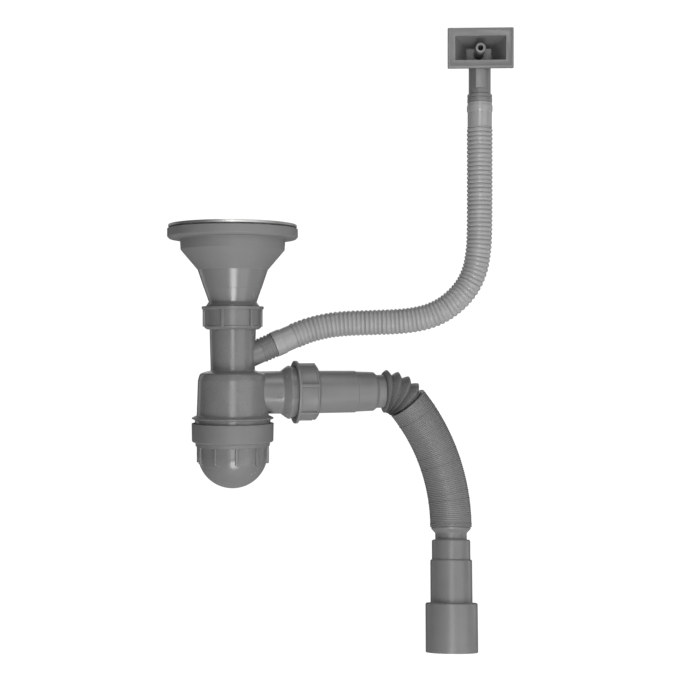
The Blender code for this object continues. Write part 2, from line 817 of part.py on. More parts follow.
def hollow_hose(name, points, radius, bore_r, scale=None):
    """A hose along points with a smooth bore right through."""
    hose = to_mesh(tube(name, points, radius, GREY, 6, scale))
    bore = to_mesh(tube(name + "_bore", longer(points[::2], 1.0), bore_r, None, 4, cutter=True))
    boolean(hose, bore, "DIFFERENCE")


def build_flexible_outlet():
    """Opened folds at the elbow, the closed bellows and the stepped end adapter."""
    first = Vector((1, 0, 0))
    elbow_exit = direction(*ELBOW_EXIT)
    bellows_exit = direction(*BELLOWS_EXIT)
    start = Vector((PIPE_END_X + GAP, 0, OUTLET_Z))
    elbow = bend(start, first, elbow_exit, ELBOW_LENGTH, 4 * ELBOW_FOLDS)
    swing = (ELBOW_PEAK_R - ELBOW_VALLEY_R) / 2
    middle = (ELBOW_PEAK_R + ELBOW_VALLEY_R) / 2
    folds = [(middle - swing * math.cos(math.pi * k / 2)) / ELBOW_PEAK_R for k in range(len(elbow))]
    hollow_hose("hose_elbow", elbow, ELBOW_PEAK_R, ELBOW_BORE_R, folds)
    bellows_start = elbow[-1] + elbow_exit * GAP
    bellows = bend(bellows_start, elbow_exit, bellows_exit, BELLOWS_LENGTH, 14)
    hollow_hose("hose_bellows", bellows, BELLOWS_R, BELLOWS_BORE_R)
    end = bellows[-1] + bellows_exit * GAP
    axis = axis_empty("adapter_axis", end, -bellows_exit)
    outer = [(ADAPTER_NECK_R, 0.0)]
    inner = [(ADAPTER_NECK_R - ADAPTER_WALL, 0.0)]
    z = -ADAPTER_NECK_LENGTH
    for radius, length in ADAPTER_STEPS:
        outer += [(outer[-1][0], z), (radius - 1.2, z), (radius, z - 1.4)]
        inner += [(inner[-1][0], z - 3.0), (radius - ADAPTER_WALL, z - 4.6)]
        z -= length
    outer.append((outer[-1][0], z))
    inner.append((inner[-1][0], z))
    adapter = turned("end_adapter", outer + inner[::-1], GREY)
    adapter.parent = axis


def hose_place(index):
    """A point of the overflow hose's route, which starts just clear of the branch's mouth."""
    mouth = Vector((0, 0, BRANCH_Z)) + direction(BRANCH_PITCH, 0) * (BRANCH_LENGTH + GAP)
    return mouth + Vector(OVERFLOW_ROUTE[index])


def build_overflow_hose():
    """The corrugated hose from the branch to the head, in two lengths that meet at the bend."""
    points = spline([hose_place(k) for k in range(len(OVERFLOW_ROUTE))], 10.0)
    parting = hose_place(OVERFLOW_PARTING)
    before = min(range(len(points)), key=lambda k: (points[k] - parting).length)
    middle = (points[before] + points[before + 1]) / 2
    half_gap = (points[before + 1] - points[before]).normalized() * GAP / 2
    lower = [*points[: before + 1], middle - half_gap]
    upper = [middle + half_gap, *points[before + 1 :]]
    tube("overflow_hose_lower", lower, OVERFLOW_HOSE_R, PALE, 4)
    tube("overflow_hose_upper", upper, OVERFLOW_HOSE_R, PALE, 4)


def frustum(name, near_size, far_size, near_y, far_y, cutter=True, finish=None):
    """A four-sided taper along Y between two rectangles."""
    shape = bmesh.new()
    corners = ((-1, -1), (1, -1), (1, 1), (-1, 1))
    rings = []
    for (width, height), y in ((near_size, near_y), (far_size, far_y)):
        places = [Vector((width / 2 * u, y, height / 2 * v)) * MM for u, v in corners]
        rings.append([shape.verts.new(place) for place in places])
    near, far = rings
    shape.faces.new(near)
    shape.faces.new(far[::-1])
    for k in range(4):
        following = (k + 1) % 4
        shape.faces.new((near[following], near[k], far[k], far[following]))
    mesh = bpy.data.meshes.new(name)
    shape.to_mesh(mesh)
    shape.free()
    return add(name, mesh, finish, cutter)


def build_overflow_head():
    """Overflow inlet: face plate, tapered mouth, screw boss, neck and hose spigot."""
    riser = hose_place(-1)
    spigot_low = GAP
    spigot_top = spigot_low + HEAD_SPIGOT_LENGTH
    face_low = spigot_top + HEAD_NECK_LENGTH
    centre_z = face_low + HEAD_H / 2 - 1.6
    front = -HEAD_FORWARD
    floor = front + HEAD_DEPTH
    wall = 2 * HEAD_WALL
    outline = (HEAD_W, HEAD_H)
    plate = frustum("overflow_head", outline, outline, front, front + HEAD_PLATE_T, False, GREY)
    edge = plate.modifiers.new("rounded", "BEVEL")
    edge.width = 1.2 * MM
    edge.segments = 2
    edge.limit_method = "ANGLE"
    mouth = (HEAD_MOUTH_W, HEAD_MOUTH_H)
    ending = (HEAD_FLOOR_W, HEAD_FLOOR_H)
    shell = frustum(
        "head_shell",
        (mouth[0] + wall, mouth[1] + wall),
        (ending[0] + wall, ending[1] + wall),
        front + 1.0,
        floor + HEAD_WALL,
    )
    slope_w = (mouth[0] - ending[0]) / HEAD_DEPTH
    slope_h = (mouth[1] - ending[1]) / HEAD_DEPTH
    cavity = frustum("head_cavity", (mouth[0] + slope_w, mouth[1] + slope_h), ending, front - 1.0, floor)
    neck = turned(
        "head_neck",
        [
            (0, centre_z - 4.0),
            (HEAD_NECK_R, centre_z - 4.0),
            (HEAD_NECK_R, spigot_top + 1.0),
            (HEAD_SPIGOT_R, spigot_top),
            (HEAD_SPIGOT_R, spigot_top - 2.0),
            (HEAD_SPIGOT_R - 0.6, spigot_top - 2.6),
            (HEAD_SPIGOT_R, spigot_top - 3.4),
            (HEAD_SPIGOT_R, spigot_low),
            (0, spigot_low),
        ],
        steps=SMALL_STEPS,
        cutter=True,
    )
    drain = rod("head_drain", HEAD_BORE_R, spigot_low - 1, centre_z)
    pad_back = -HEAD_NECK_R + 1.5
    pad_centre = (0, (pad_back - HEAD_PAD_FORWARD) / 2, face_low - HEAD_PAD_LENGTH / 2 + 1.0)
    pad_size = (HEAD_PAD_W, HEAD_PAD_FORWARD + pad_back, HEAD_PAD_LENGTH + 2.0)
    pad = boxes("head_pad", [(pad_centre, pad_size, 0)])
    boss = rod("head_boss", HEAD_BOSS_R, -floor - 0.8, -front - 0.4, 16)
    boss_bore = rod("head_boss_bore", HEAD_BOSS_BORE_R, -floor + 4.0, -front + 1.0, 12)
    riser_matrix = Matrix.Translation(riser * MM) @ Matrix.Rotation(math.radians(HEAD_TURN), 4, "Z")
    for piece in (neck, drain, pad):
        piece.matrix_world = riser_matrix
    for piece in (plate, shell, cavity):
        piece.matrix_world = riser_matrix @ Matrix.Translation((0, 0, centre_z * MM))
    for piece in (boss, boss_bore):
        lying = Matrix.Rotation(math.radians(90), 4, "X")
        piece.matrix_world = riser_matrix @ Matrix.Translation((0, 0, centre_z * MM)) @ lying
    boolean(plate, shell, "UNION")
    boolean(plate, neck, "UNION")
    boolean(plate, pad, "UNION")
    boolean(plate, cavity, "DIFFERENCE")
    boolean(plate, drain, "DIFFERENCE")
    boolean(plate, boss, "UNION")
    boolean(plate, boss_bore, "DIFFERENCE")


def main():
    """Build every piece."""
    build_strainer()
    build_basket()
    build_funnel()
    build_inlet_union()
    build_trap_body()
    build_flask()
    build_outlet_pipe(build_outlet_union())
    build_flexible_outlet()
    build_overflow_hose()
    build_overflow_head()


main()
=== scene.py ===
"""A sink bottle trap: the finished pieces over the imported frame, with their light and camera.

Sizes are in millimetres on the classes, and every piece is placed from the frame's own boxes.
"""

from __future__ import annotations

import logging
import math
from collections.abc import Iterable, Sequence
from dataclasses import dataclass
from enum import Enum

import bmesh
import bpy
from mathutils import Matrix, Vector


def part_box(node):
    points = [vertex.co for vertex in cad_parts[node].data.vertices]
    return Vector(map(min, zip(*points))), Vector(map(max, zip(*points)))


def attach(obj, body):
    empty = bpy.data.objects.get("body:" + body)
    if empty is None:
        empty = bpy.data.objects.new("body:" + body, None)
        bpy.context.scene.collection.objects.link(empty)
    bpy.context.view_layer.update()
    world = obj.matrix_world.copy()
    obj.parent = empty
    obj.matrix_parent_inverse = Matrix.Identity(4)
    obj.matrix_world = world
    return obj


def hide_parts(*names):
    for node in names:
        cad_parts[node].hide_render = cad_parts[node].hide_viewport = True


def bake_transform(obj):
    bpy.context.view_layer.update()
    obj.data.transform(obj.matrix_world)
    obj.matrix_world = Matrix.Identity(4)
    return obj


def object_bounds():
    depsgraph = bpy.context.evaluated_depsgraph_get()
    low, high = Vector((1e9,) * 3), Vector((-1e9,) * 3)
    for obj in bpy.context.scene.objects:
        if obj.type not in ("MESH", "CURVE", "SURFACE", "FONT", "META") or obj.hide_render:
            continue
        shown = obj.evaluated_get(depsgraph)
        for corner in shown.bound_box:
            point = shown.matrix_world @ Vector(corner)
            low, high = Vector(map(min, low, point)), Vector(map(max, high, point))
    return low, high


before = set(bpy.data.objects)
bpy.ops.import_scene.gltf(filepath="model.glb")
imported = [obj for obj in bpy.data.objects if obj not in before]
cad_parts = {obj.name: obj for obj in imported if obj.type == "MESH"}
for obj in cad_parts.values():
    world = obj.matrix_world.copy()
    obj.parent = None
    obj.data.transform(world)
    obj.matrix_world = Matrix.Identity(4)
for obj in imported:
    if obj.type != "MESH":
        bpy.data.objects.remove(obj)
CAD_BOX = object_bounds()

LOG = logging.getLogger("bottle_trap")
MM = 0.001
GAP = 0.3  # between pieces that touch
TUBE_LENGTH = 39.3  # of the trap's inlet tube, below its nut
EVERYWHERE = (1.0, 1.0, 1.0)
WHITE = (1.0, 1.0, 1.0, 1.0)

Point = tuple[float, float]
Place = tuple[float, float, float]
Corner = tuple[float, ...]  # r, z and a fillet radius where the corner has one
Socket = bpy.types.NodeSocket
Node = bpy.types.Node
Piece = bpy.types.Object


class Body(str, Enum):
    """The frame's bodies that finished pieces ride on."""

    WASTE = "sink_waste"
    BASKET = "basket"
    INLET_WASHER = "inlet_washer"
    INLET_NUT = "inlet_nut"
    TRAP = "trap"
    FLASK_SEAL = "flask_seal"
    FLASK = "flask"
    OUTLET_WASHER = "outlet_washer"
    OUTLET_NUT = "outlet_nut"
    OUTLET_SEAL = "outlet_seal"
    PIPE = "outlet_pipe"
    RUN = "hose_run"
    ADAPTER = "adapter"
    RISER = "overflow_riser"
    HEAD = "overflow_head"


class Operation(str, Enum):
    """What a Boolean does with its tool."""

    CUT = "DIFFERENCE"
    JOIN = "UNION"
    KEEP = "INTERSECT"


# ---------------------------------------------------------------------------------------------
# Finishes
# ---------------------------------------------------------------------------------------------


class Shader:
    """A material's node tree, with short ways to add and wire its nodes."""

    def __init__(self, name: str) -> None:
        """Start a material that holds a Principled shader and an output."""
        self.material = bpy.data.materials.new(name)
        self.material.use_nodes = True
        self.tree = self.material.node_tree
        self.surface = self.tree.nodes["Principled BSDF"]
        self.place = self.tree.nodes.new("ShaderNodeTexCoord").outputs["Object"]

    def node(self, kind: str, **values: object) -> Node:
        """Add a node.

        Args:
            kind: The node's type, without its ShaderNode prefix.
            **values: Its properties, or its inputs by name with spaces as underscores.

        Returns:
            The node.
        """
        made = self.tree.nodes.new("ShaderNode" + kind)
        for key, value in values.items():
            if hasattr(made, key):
                setattr(made, key, value)
            else:
                made.inputs[key.replace("_", " ")].default_value = value
        return made

    def wire(self, source: Socket, target: Socket) -> None:
        """Join two sockets."""
        self.tree.links.new(source, target)

    def noise(self, scale: float, detail: float = 3.0, stretch: Place = EVERYWHERE) -> Socket:
        """Noise over the piece.

        Args:
            scale: Features per metre.
            detail: Octaves.
            stretch: How far the pattern is scaled along each axis.

        Returns:
            The noise's value.
        """
        mapping = self.node("Mapping")
        mapping.inputs["Scale"].default_value = stretch
        self.wire(self.place, mapping.inputs["Vector"])
        made = self.node("TexNoise", Scale=scale, Detail=detail)
        self.wire(mapping.outputs["Vector"], made.inputs["Vector"])
        return made.outputs["Fac"]

    def spread(self, value: Socket, low: float, high: float, source: Point = (0.3, 0.7)) -> Socket:
        """Map a value from one range to another.

        Args:
            value: The value to map.
            low: Its result at the start of the source range.
            high: Its result at the end of it.
            source: The range to map from.

        Returns:
            The mapped value.
        """
        made = self.node("MapRange", From_Min=source[0], From_Max=source[1], To_Min=low, To_Max=high)
        self.wire(value, made.inputs["Value"])
        return made.outputs["Result"]

    def blend(self, factor: Socket, first: Place, second: Place) -> Socket:
        """Mix two colours.

        Args:
            factor: Nothing for the first colour, one for the second.
            first: The first colour.
            second: The second colour.

        Returns:
            The mixed colour.
        """
        made = self.node("MixRGB", Color1=(*first, 1.0), Color2=(*second, 1.0))
        self.wire(factor, made.inputs["Fac"])
        return made.outputs["Color"]

    def bump(self, height: Socket, strength: float, distance: float, under: Node | None = None) -> Node:
        """Raise the surface by a height.

        Args:
            height: The height's pattern.
            strength: How much of it shows.
            distance: The height of one, in metres.
            under: An earlier bump that this one goes over.

        Returns:
            The Bump node.
        """
        made = self.node("Bump", Strength=strength, Distance=distance)
        self.wire(height, made.inputs["Height"])
        if under:
            self.wire(under.outputs["Normal"], made.inputs["Normal"])
        return made


@dataclass(frozen=True)
class Moulded:
    """Injection or blow moulded plastic: flow streaks, an orange-peel skin and faint scuffs."""

    name: str
    colour: Place
    slot: str
    roughness: float = 0.4
    mottle: float = 0.03
    peel: float = 0.02
    scuff: float = 0.02
    scatter: float = 0.0
    matt_from: float = 0.0
    matt_to: float = 0.0
    matt_more: float = 0.34
    dust: float = 0.08
    waviness: float = 0.03
    refraction: float = 1.49
    scatter_depth: float = 4.0

    def material(self) -> bpy.types.Material:
        """Build the node tree."""
        shader = Shader(self.name)
        streak = shader.noise(22.0, 4.0, (1.0, 1.0, 0.35))
        cloud = shader.noise(70.0, 3.0)
        fine = shader.noise(1400.0, 2.0)
        scratches = shader.noise(260.0, 5.0, (1.0, 1.0, 0.12))
        dark = tuple(c * (1.0 - self.mottle) for c in self.colour)
        light = tuple(min(1.0, c * (1.0 + self.mottle)) for c in self.colour)
        tone = shader.blend(shader.spread(streak, 0.0, 1.0), dark, light)
        dust = shader.node("MixRGB", blend_type="OVERLAY")
        dust.inputs["Fac"].default_value = self.dust
        shader.wire(tone, dust.inputs["Color1"])
        shader.wire(cloud, dust.inputs["Color2"])
        shader.wire(dust.outputs["Color"], shader.surface.inputs["Base Color"])
        rough = shader.node("Math", operation="ADD", use_clamp=True)
        shader.wire(shader.spread(cloud, self.roughness - 0.05, self.roughness + 0.05), rough.inputs[0])
        shader.wire(shader.spread(scratches, 0.0, self.scuff, (0.56, 0.75)), rough.inputs[1])
        if self.matt_to > self.matt_from:
            rough = self.matt_band(shader, rough)
        shader.wire(rough.outputs["Value"], shader.surface.inputs["Roughness"])
        wavy = shader.bump(streak, self.waviness, 0.0006)
        skin = shader.bump(fine, self.peel, 0.0002, wavy)
        shader.wire(skin.outputs["Normal"], shader.surface.inputs["Normal"])
        shader.surface.inputs["IOR"].default_value = self.refraction
        shader.surface.inputs["Subsurface Weight"].default_value = self.scatter
        shader.surface.inputs["Subsurface Radius"].default_value = (self.scatter_depth * MM,) * 3
        return shader.material

    def matt_band(self, shader: Shader, rough: Node) -> Node:
        """Add the roughness of a spark-eroded band of the mould, between two heights.

        Args:
            shader: The material's shader.
            rough: The node that gives the roughness elsewhere.

        Returns:
            The node that gives the roughness everywhere.
        """
        height = shader.node("SeparateXYZ")
        shader.wire(shader.place, height.inputs[0])
        middle = (self.matt_from + self.matt_to) / 2 * MM
        reach = (self.matt_to - self.matt_from) / 2 * MM
        inside = shader.node("Math", operation="COMPARE")
        inside.inputs[1].default_value = middle
        inside.inputs[2].default_value = reach
        shader.wire(height.outputs["Z"], inside.inputs[0])
        more = shader.node("Math", operation="MULTIPLY_ADD", use_clamp=True)
        more.inputs[1].default_value = self.matt_more
        shader.wire(inside.outputs[0], more.inputs[0])
        shader.wire(rough.outputs["Value"], more.inputs[2])
        return more


@dataclass(frozen=True)
class Metal:
    """Pressed or machined metal with brush lines and dull patches."""

    name: str
    colour: Place
    slot: str
    roughness: float = 0.28
    brush: Place = (1.0, 1.0, 18.0)

    def material(self) -> bpy.types.Material:
        """Build the node tree."""
        shader = Shader(self.name)
        lines = shader.noise(420.0, 3.0, self.brush)
        patches = shader.noise(45.0, 4.0)
        dull = tuple(c * 0.82 for c in self.colour)
        tone = shader.blend(shader.spread(patches, 0.0, 1.0), self.colour, dull)
        shader.wire(tone, shader.surface.inputs["Base Color"])
        rough = shader.node("Math", operation="ADD", use_clamp=True)
        shader.wire(shader.spread(lines, self.roughness - 0.06, self.roughness + 0.08), rough.inputs[0])
        shader.wire(shader.spread(patches, 0.0, 0.12), rough.inputs[1])
        shader.wire(rough.outputs["Value"], shader.surface.inputs["Roughness"])
        shader.wire(shader.bump(lines, 0.12, 0.0001).outputs["Normal"], shader.surface.inputs["Normal"])
        shader.surface.inputs["Metallic"].default_value = 1.0
        return shader.material


@dataclass(frozen=True)
class Rubber:
    """Matt moulded rubber with a bloom of dust and a fine grain."""

    name: str
    colour: Place
    slot: str
    roughness: float = 0.72

    def material(self) -> bpy.types.Material:
        """Build the node tree."""
        shader = Shader(self.name)
        bloom = shader.noise(120.0, 5.0)
        grain = shader.noise(2600.0, 2.0)
        pale = tuple(c * 2.4 + 0.012 for c in self.colour)
        tone = shader.blend(shader.spread(bloom, 0.0, 1.0, (0.45, 0.8)), self.colour, pale)
        shader.wire(tone, shader.surface.inputs["Base Color"])
        rough = shader.spread(bloom, self.roughness - 0.1, self.roughness + 0.1)
        shader.wire(rough, shader.surface.inputs["Roughness"])
        shader.wire(shader.bump(grain, 0.25, 0.0001).outputs["Normal"], shader.surface.inputs["Normal"])
        return shader.material


@dataclass(frozen=True)
class Finishes:
    """Every finish of the trap, each built once."""

    grey: Moulded = Moulded("grey_polypropylene_finish", (0.158, 0.158, 0.159), "grey_polypropylene", 0.34)
    gloss: Moulded = Moulded("glossy_polypropylene_finish", (0.160, 0.160, 0.161), "grey_polypropylene", 0.25)
    funnel: Moulded = Moulded(
        "funnel_finish", (0.168, 0.168, 0.169), "grey_polypropylene", 0.23, matt_from=-42.3, matt_to=0.0
    )
    flask: Moulded = Moulded(
        "flask_finish", (0.150, 0.150, 0.151), "grey_polypropylene", 0.25, matt_from=-208.7, matt_to=-186.0
    )
    bellows: Moulded = Moulded("bellows_finish", (0.150, 0.150, 0.151), "grey_polypropylene", 0.42, peel=0.0)
    pale: Moulded = Moulded("pale_hose_finish", (0.29, 0.29, 0.289), "pale_hose", 0.22, scatter=0.05)
    washer: Moulded = Moulded("washer_finish", (0.55, 0.55, 0.54), "washer_plastic", 0.5, scatter=0.1)
    steel: Metal = Metal("stainless_finish", (0.56, 0.56, 0.55), "stainless_steel", 0.40)
    brass: Metal = Metal("brass_finish", (0.72, 0.52, 0.24), "brass", 0.32)
    rubber: Rubber = Rubber("rubber_finish", (0.05, 0.05, 0.05), "black_rubber")
    flange_rubber: Rubber = Rubber("flange_gasket_finish", (0.10, 0.10, 0.10), "black_rubber", 0.6)


FINISHES = Finishes()
Finish = Moulded | Metal | Rubber
_made: dict[str, bpy.types.Material] = {}


def finish_material(finish: Finish) -> bpy.types.Material:
    """The finish's material, built the first time that it is asked for."""
    if finish.name not in _made:
        _made[finish.name] = finish.material()
    return _made[finish.name]


# ---------------------------------------------------------------------------------------------
# Meshes
# ---------------------------------------------------------------------------------------------


def link(name: str, data: bpy.types.ID) -> Piece:
    """Put new data in the scene as an object at the origin."""
    made = bpy.data.objects.new(name, data)
    bpy.context.scene.collection.objects.link(made)
    return made


def from_bmesh(name: str, shape: bmesh.types.BMesh) -> Piece:
    """Put a finished bmesh in the scene and free it."""
    mesh = bpy.data.meshes.new(name)
    shape.to_mesh(mesh)
    shape.free()
    return link(name, mesh)


def round_edges(shape: bmesh.types.BMesh, radius: float, segments: int) -> None:
    """Round every edge of a shape, by a radius in millimetres."""
    edges = list(shape.edges)
    bmesh.ops.bevel(shape, geom=edges, offset=radius * MM, segments=segments, profile=0.5, affect="EDGES")


def bake(source: Piece) -> Piece:
    """Replace an object and its modifiers with a plain mesh of the same name, at the origin.

    Args:
        source: The object, which is removed.

    Returns:
        The plain object.
    """
    bpy.context.view_layer.update()
    evaluated = source.evaluated_get(bpy.context.evaluated_depsgraph_get())
    mesh = bpy.data.meshes.new_from_object(evaluated)
    mesh.transform(source.matrix_world)
    name = source.name
    bpy.data.objects.remove(source)
    made = link(name, mesh)
    mesh.name = name
    return made


def rounded(corners: Sequence[Corner], closed: bool, steps: int = 4) -> list[Point]:
    """Round the corners of an outline.

    Args:
        corners: Points (r, z) with an optional fillet radius as a third value.
        closed: Whether the last point joins the first.
        steps: Segments in each fillet.

    Returns:
        The outline's points.
    """
    points: list[Point] = []
    count = len(corners)
    for k, corner in enumerate(corners):
        here = Vector(corner[:2])
        radius = corner[2] if len(corner) > 2 else 0.0
        inside = closed or 0 < k < count - 1
        before = Vector(corners[k - 1][:2]) - here
        after = Vector(corners[(k + 1) % count][:2]) - here
        if not radius or not inside or before.length < 1e-6 or after.length < 1e-6:
            points.append((here.x, here.y))
            continue
        before_n, after_n = before.normalized(), after.normalized()
        half = math.acos(max(-1.0, min(1.0, before_n.dot(after_n)))) / 2
        reach = min(radius / math.tan(half), before.length * 0.48, after.length * 0.48)
        start, end = here + before_n * reach, here + after_n * reach
        for j in range(steps + 1):
            t = j / steps
            place = start * (1 - t) ** 2 + here * (2 * t * (1 - t)) + end * t**2
            points.append((place.x, place.y))
    return points


def turned(name: str, corners: Sequence[Corner], segments: int = 128, fillet_steps: int = 4) -> Piece:
    """Turn an outline of (r, z, fillet) in millimetres about Z.

    The outline runs down its outer side and up its inner side. It starts and ends on the axis,
    or closes on itself.

    Args:
        name: The object's name.
        corners: The outline.
        segments: Facets round the axis.
        fillet_steps: Segments in each fillet.

    Returns:
        A closed solid.
    """
    closed = corners[0][0] > 0
    outline = rounded(corners, closed, fillet_steps)
    shape = bmesh.new()
    rings: list[list[bmesh.types.BMVert]] = []
    for r, z in outline:
        if r < 1e-6:
            rings.append([shape.verts.new((0.0, 0.0, z * MM))] * segments)
            continue
        turns = (2 * math.pi * k / segments for k in range(segments))
        rings.append([shape.verts.new((r * MM * math.cos(a), r * MM * math.sin(a), z * MM)) for a in turns])
    pairs = list(zip(rings, rings[1:]))
    if closed:
        pairs.append((rings[-1], rings[0]))
    for upper, lower in pairs:
        for k in range(segments):
            following = (k + 1) % segments
            loop = [upper[k], lower[k], lower[following], upper[following]]
            corners_of_face = list(dict.fromkeys(loop))
            if len(corners_of_face) > 2:
                shape.faces.new(corners_of_face)
    return from_bmesh(name, shape)


def rod(name: str, radius: float, high: float, low: float, segments: int) -> Piece:
    """A plain cylinder about Z, in millimetres.

    Args:
        name: The object's name.
        radius: Its radius.
        high: Its upper end.
        low: Its lower end.
        segments: Facets round the axis.

    Returns:
        A closed solid.
    """
    return turned(name, [(0, high), (radius, high), (radius, low), (0, low)], segments)


def boolean(target: Piece, tool: Piece, operation: Operation) -> None:
    """Apply an exact Boolean.

    Args:
        target: The piece that it changes.
        tool: The shape that it uses, which is removed.
        operation: What it does.
    """
    made = target.modifiers.new("boolean", "BOOLEAN")
    made.operation = operation.value
    made.object = tool
    made.solver = "EXACT"
    bpy.context.view_layer.update()
    evaluated = target.evaluated_get(bpy.context.evaluated_depsgraph_get())
    mesh = bpy.data.meshes.new_from_object(evaluated)
    target.modifiers.clear()
    target.data = mesh
    bpy.data.objects.remove(tool)


def shade(piece: Piece, angle: float = 32.0) -> None:
    """Shade a piece smooth, and sharp over an angle in degrees."""
    piece.data.shade_smooth()
    piece.data.set_sharp_from_angle(angle=math.radians(angle))


def block(name: str, size: Place, centre: Place, round_by: float = 0.0, segments: int = 3) -> Piece:
    """A box with rounded edges, in millimetres.

    Args:
        name: The object's name.
        size: Its full sizes.
        centre: Its centre.
        round_by: The radius of its edges.
        segments: Segments across each rounded edge.

    Returns:
        A closed solid.
    """
    shape = bmesh.new()
    placed = Matrix.Translation(Vector(centre) * MM) @ Matrix.Diagonal((*(Vector(size) * MM), 1.0))
    bmesh.ops.create_cube(shape, size=1.0, matrix=placed)
    if round_by:
        round_edges(shape, round_by, segments)
    return from_bmesh(name, shape)


def place(piece: Piece, matrix: Matrix) -> Piece:
    """Move a piece's mesh, so that its object stays at the origin."""
    piece.data.transform(matrix)
    return piece


def lying_along(start: Place | Vector, heading: Place | Vector) -> Matrix:
    """The matrix that puts +Z along a heading from a start, in metres."""
    return Matrix.Translation(Vector(start)) @ Vector(heading).to_track_quat("Z", "Y").to_matrix().to_4x4()


def laid_on_x(height: float) -> Matrix:
    """The matrix that lays +Z along +X at a height in millimetres."""
    return Matrix.Translation((0, 0, height * MM)) @ Matrix.Rotation(math.radians(90), 4, "Y")


def spline(route: Sequence[Place | Vector], spacing: float) -> list[Vector]:
    """A smooth curve through a route's points, as part of one even run.

    Args:
        route: Points in millimetres.
        spacing: Millimetres between the points that are returned.

    Returns:
        Points in metres.
    """
    through = [Vector(point) for point in route]
    ends = [2 * through[0] - through[1], *through, 2 * through[-1] - through[-2]]
    points = [through[0] * MM]
    for a, b, c, d in zip(ends, ends[1:], ends[2:], ends[3:]):
        count = max(1, round((c - b).length / spacing))
        for k in range(1, count + 1):
            t = k / count
            first = 2 * b + (c - a) * t + (2 * a - 5 * b + 4 * c - d) * t**2
            points.append((first + (3 * b - a - 3 * c + d) * t**3) * 0.5 * MM)
    return points


def bend(start: Vector, first: Vector, last: Vector, length: float, count: int) -> list[Vector]:
    """Points along an even bend, in metres.

    Args:
        start: Its first point.
        first: The direction in which it leaves.
        last: The direction in which it arrives.
        length: Its length.
        count: How many equal steps it takes.

    Returns:
        The start and the end of each step.
    """
    points = [Vector(start)]
    for k in range(count):
        heading = first.slerp(last, k / (count - 1))
        points.append(points[-1] + heading * (length / count))
    return points


def heading(pitch: float, azimuth: float) -> Vector:
    """The unit vector at a pitch and an azimuth in degrees."""
    up, round_z = math.radians(pitch), math.radians(azimuth)
    return Vector((math.cos(up) * math.cos(round_z), math.cos(up) * math.sin(round_z), math.sin(up)))


# ---------------------------------------------------------------------------------------------
# Geometry Nodes
# ---------------------------------------------------------------------------------------------


class Tree:
    """A Geometry Nodes tree with named inputs, run on one object and baked."""

    def __init__(self, name: str) -> None:
        """Start a tree with its group input and output."""
        self.group = bpy.data.node_groups.new(name, "GeometryNodeTree")
        face = self.group.interface
        self.sockets: dict[str, str] = {}
        face.new_socket("Geometry", in_out="INPUT", socket_type="NodeSocketGeometry")
        face.new_socket("Geometry", in_out="OUTPUT", socket_type="NodeSocketGeometry")
        self.entry = self.group.nodes.new("NodeGroupInput")
        self.exit = self.group.nodes.new("NodeGroupOutput")

    def add_input(self, name: str, value: float | int) -> None:
        """Add a named number input."""
        kind = "NodeSocketInt" if isinstance(value, int) else "NodeSocketFloat"
        socket = self.group.interface.new_socket(name, in_out="INPUT", socket_type=kind)
        socket.default_value = value
        self.sockets[name] = socket.identifier

    def value(self, name: str) -> Socket:
        """A named input's socket inside the tree."""
        return self.entry.outputs[name]

    def node(self, kind: str, inputs: dict[str | int, object] | None = None, **properties: object) -> Node:
        """Add a node.

        Args:
            kind: Its full type.
            inputs: Values or sockets, by input name or number.
            **properties: Its properties.

        Returns:
            The node.
        """
        made = self.group.nodes.new(kind)
        for key, value in properties.items():
            setattr(made, key, value)
        for key, value in (inputs or {}).items():
            if isinstance(value, Socket):
                self.group.links.new(value, made.inputs[key])
            else:
                made.inputs[key].default_value = value
        return made

    def math(self, operation: str, *values: object) -> Socket:
        """A Math node's result."""
        return self.node("ShaderNodeMath", dict(enumerate(values)), operation=operation).outputs[0]

    def finish(self, geometry: Socket, material: bpy.types.Material) -> None:
        """End the tree with Realize Instances and Set Material.

        Args:
            geometry: What the tree has made.
            material: The material that it gets.
        """
        realized = self.node("GeometryNodeRealizeInstances", {"Geometry": geometry})
        coating = {"Geometry": realized.outputs[0], "Material": material}
        coated = self.node("GeometryNodeSetMaterial", coating)
        self.group.links.new(coated.outputs[0], self.exit.inputs[0])

    def run(self, carrier: Piece, **values: float) -> Piece:
        """Run the tree on an object and bake the result.

        Args:
            carrier: The object, which is replaced.
            **values: Inputs by name, with spaces as underscores.

        Returns:
            The baked object.
        """
        modifier = carrier.modifiers.new(self.group.name, "NODES")
        modifier.node_group = self.group
        for key, value in values.items():
            modifier[self.sockets[key.replace("_", " ")]] = value
        return bake(carrier)


def polyline(name: str, points: Sequence[Vector], radii: Sequence[float]) -> Piece:
    """A curve object of one open poly spline.

    Args:
        name: The object's name.
        points: Its points, in metres.
        radii: The radius at each point, in metres.

    Returns:
        The curve object.
    """
    curve = bpy.data.curves.new(name, "CURVE")
    curve.dimensions = "3D"
    curve.twist_mode = "MINIMUM"
    line = curve.splines.new("POLY")
    line.points.add(len(points) - 1)
    for spot, point, radius in zip(line.points, points, radii):
        spot.co = (*point, 1.0)
        spot.radius = radius
    return link(name, curve)


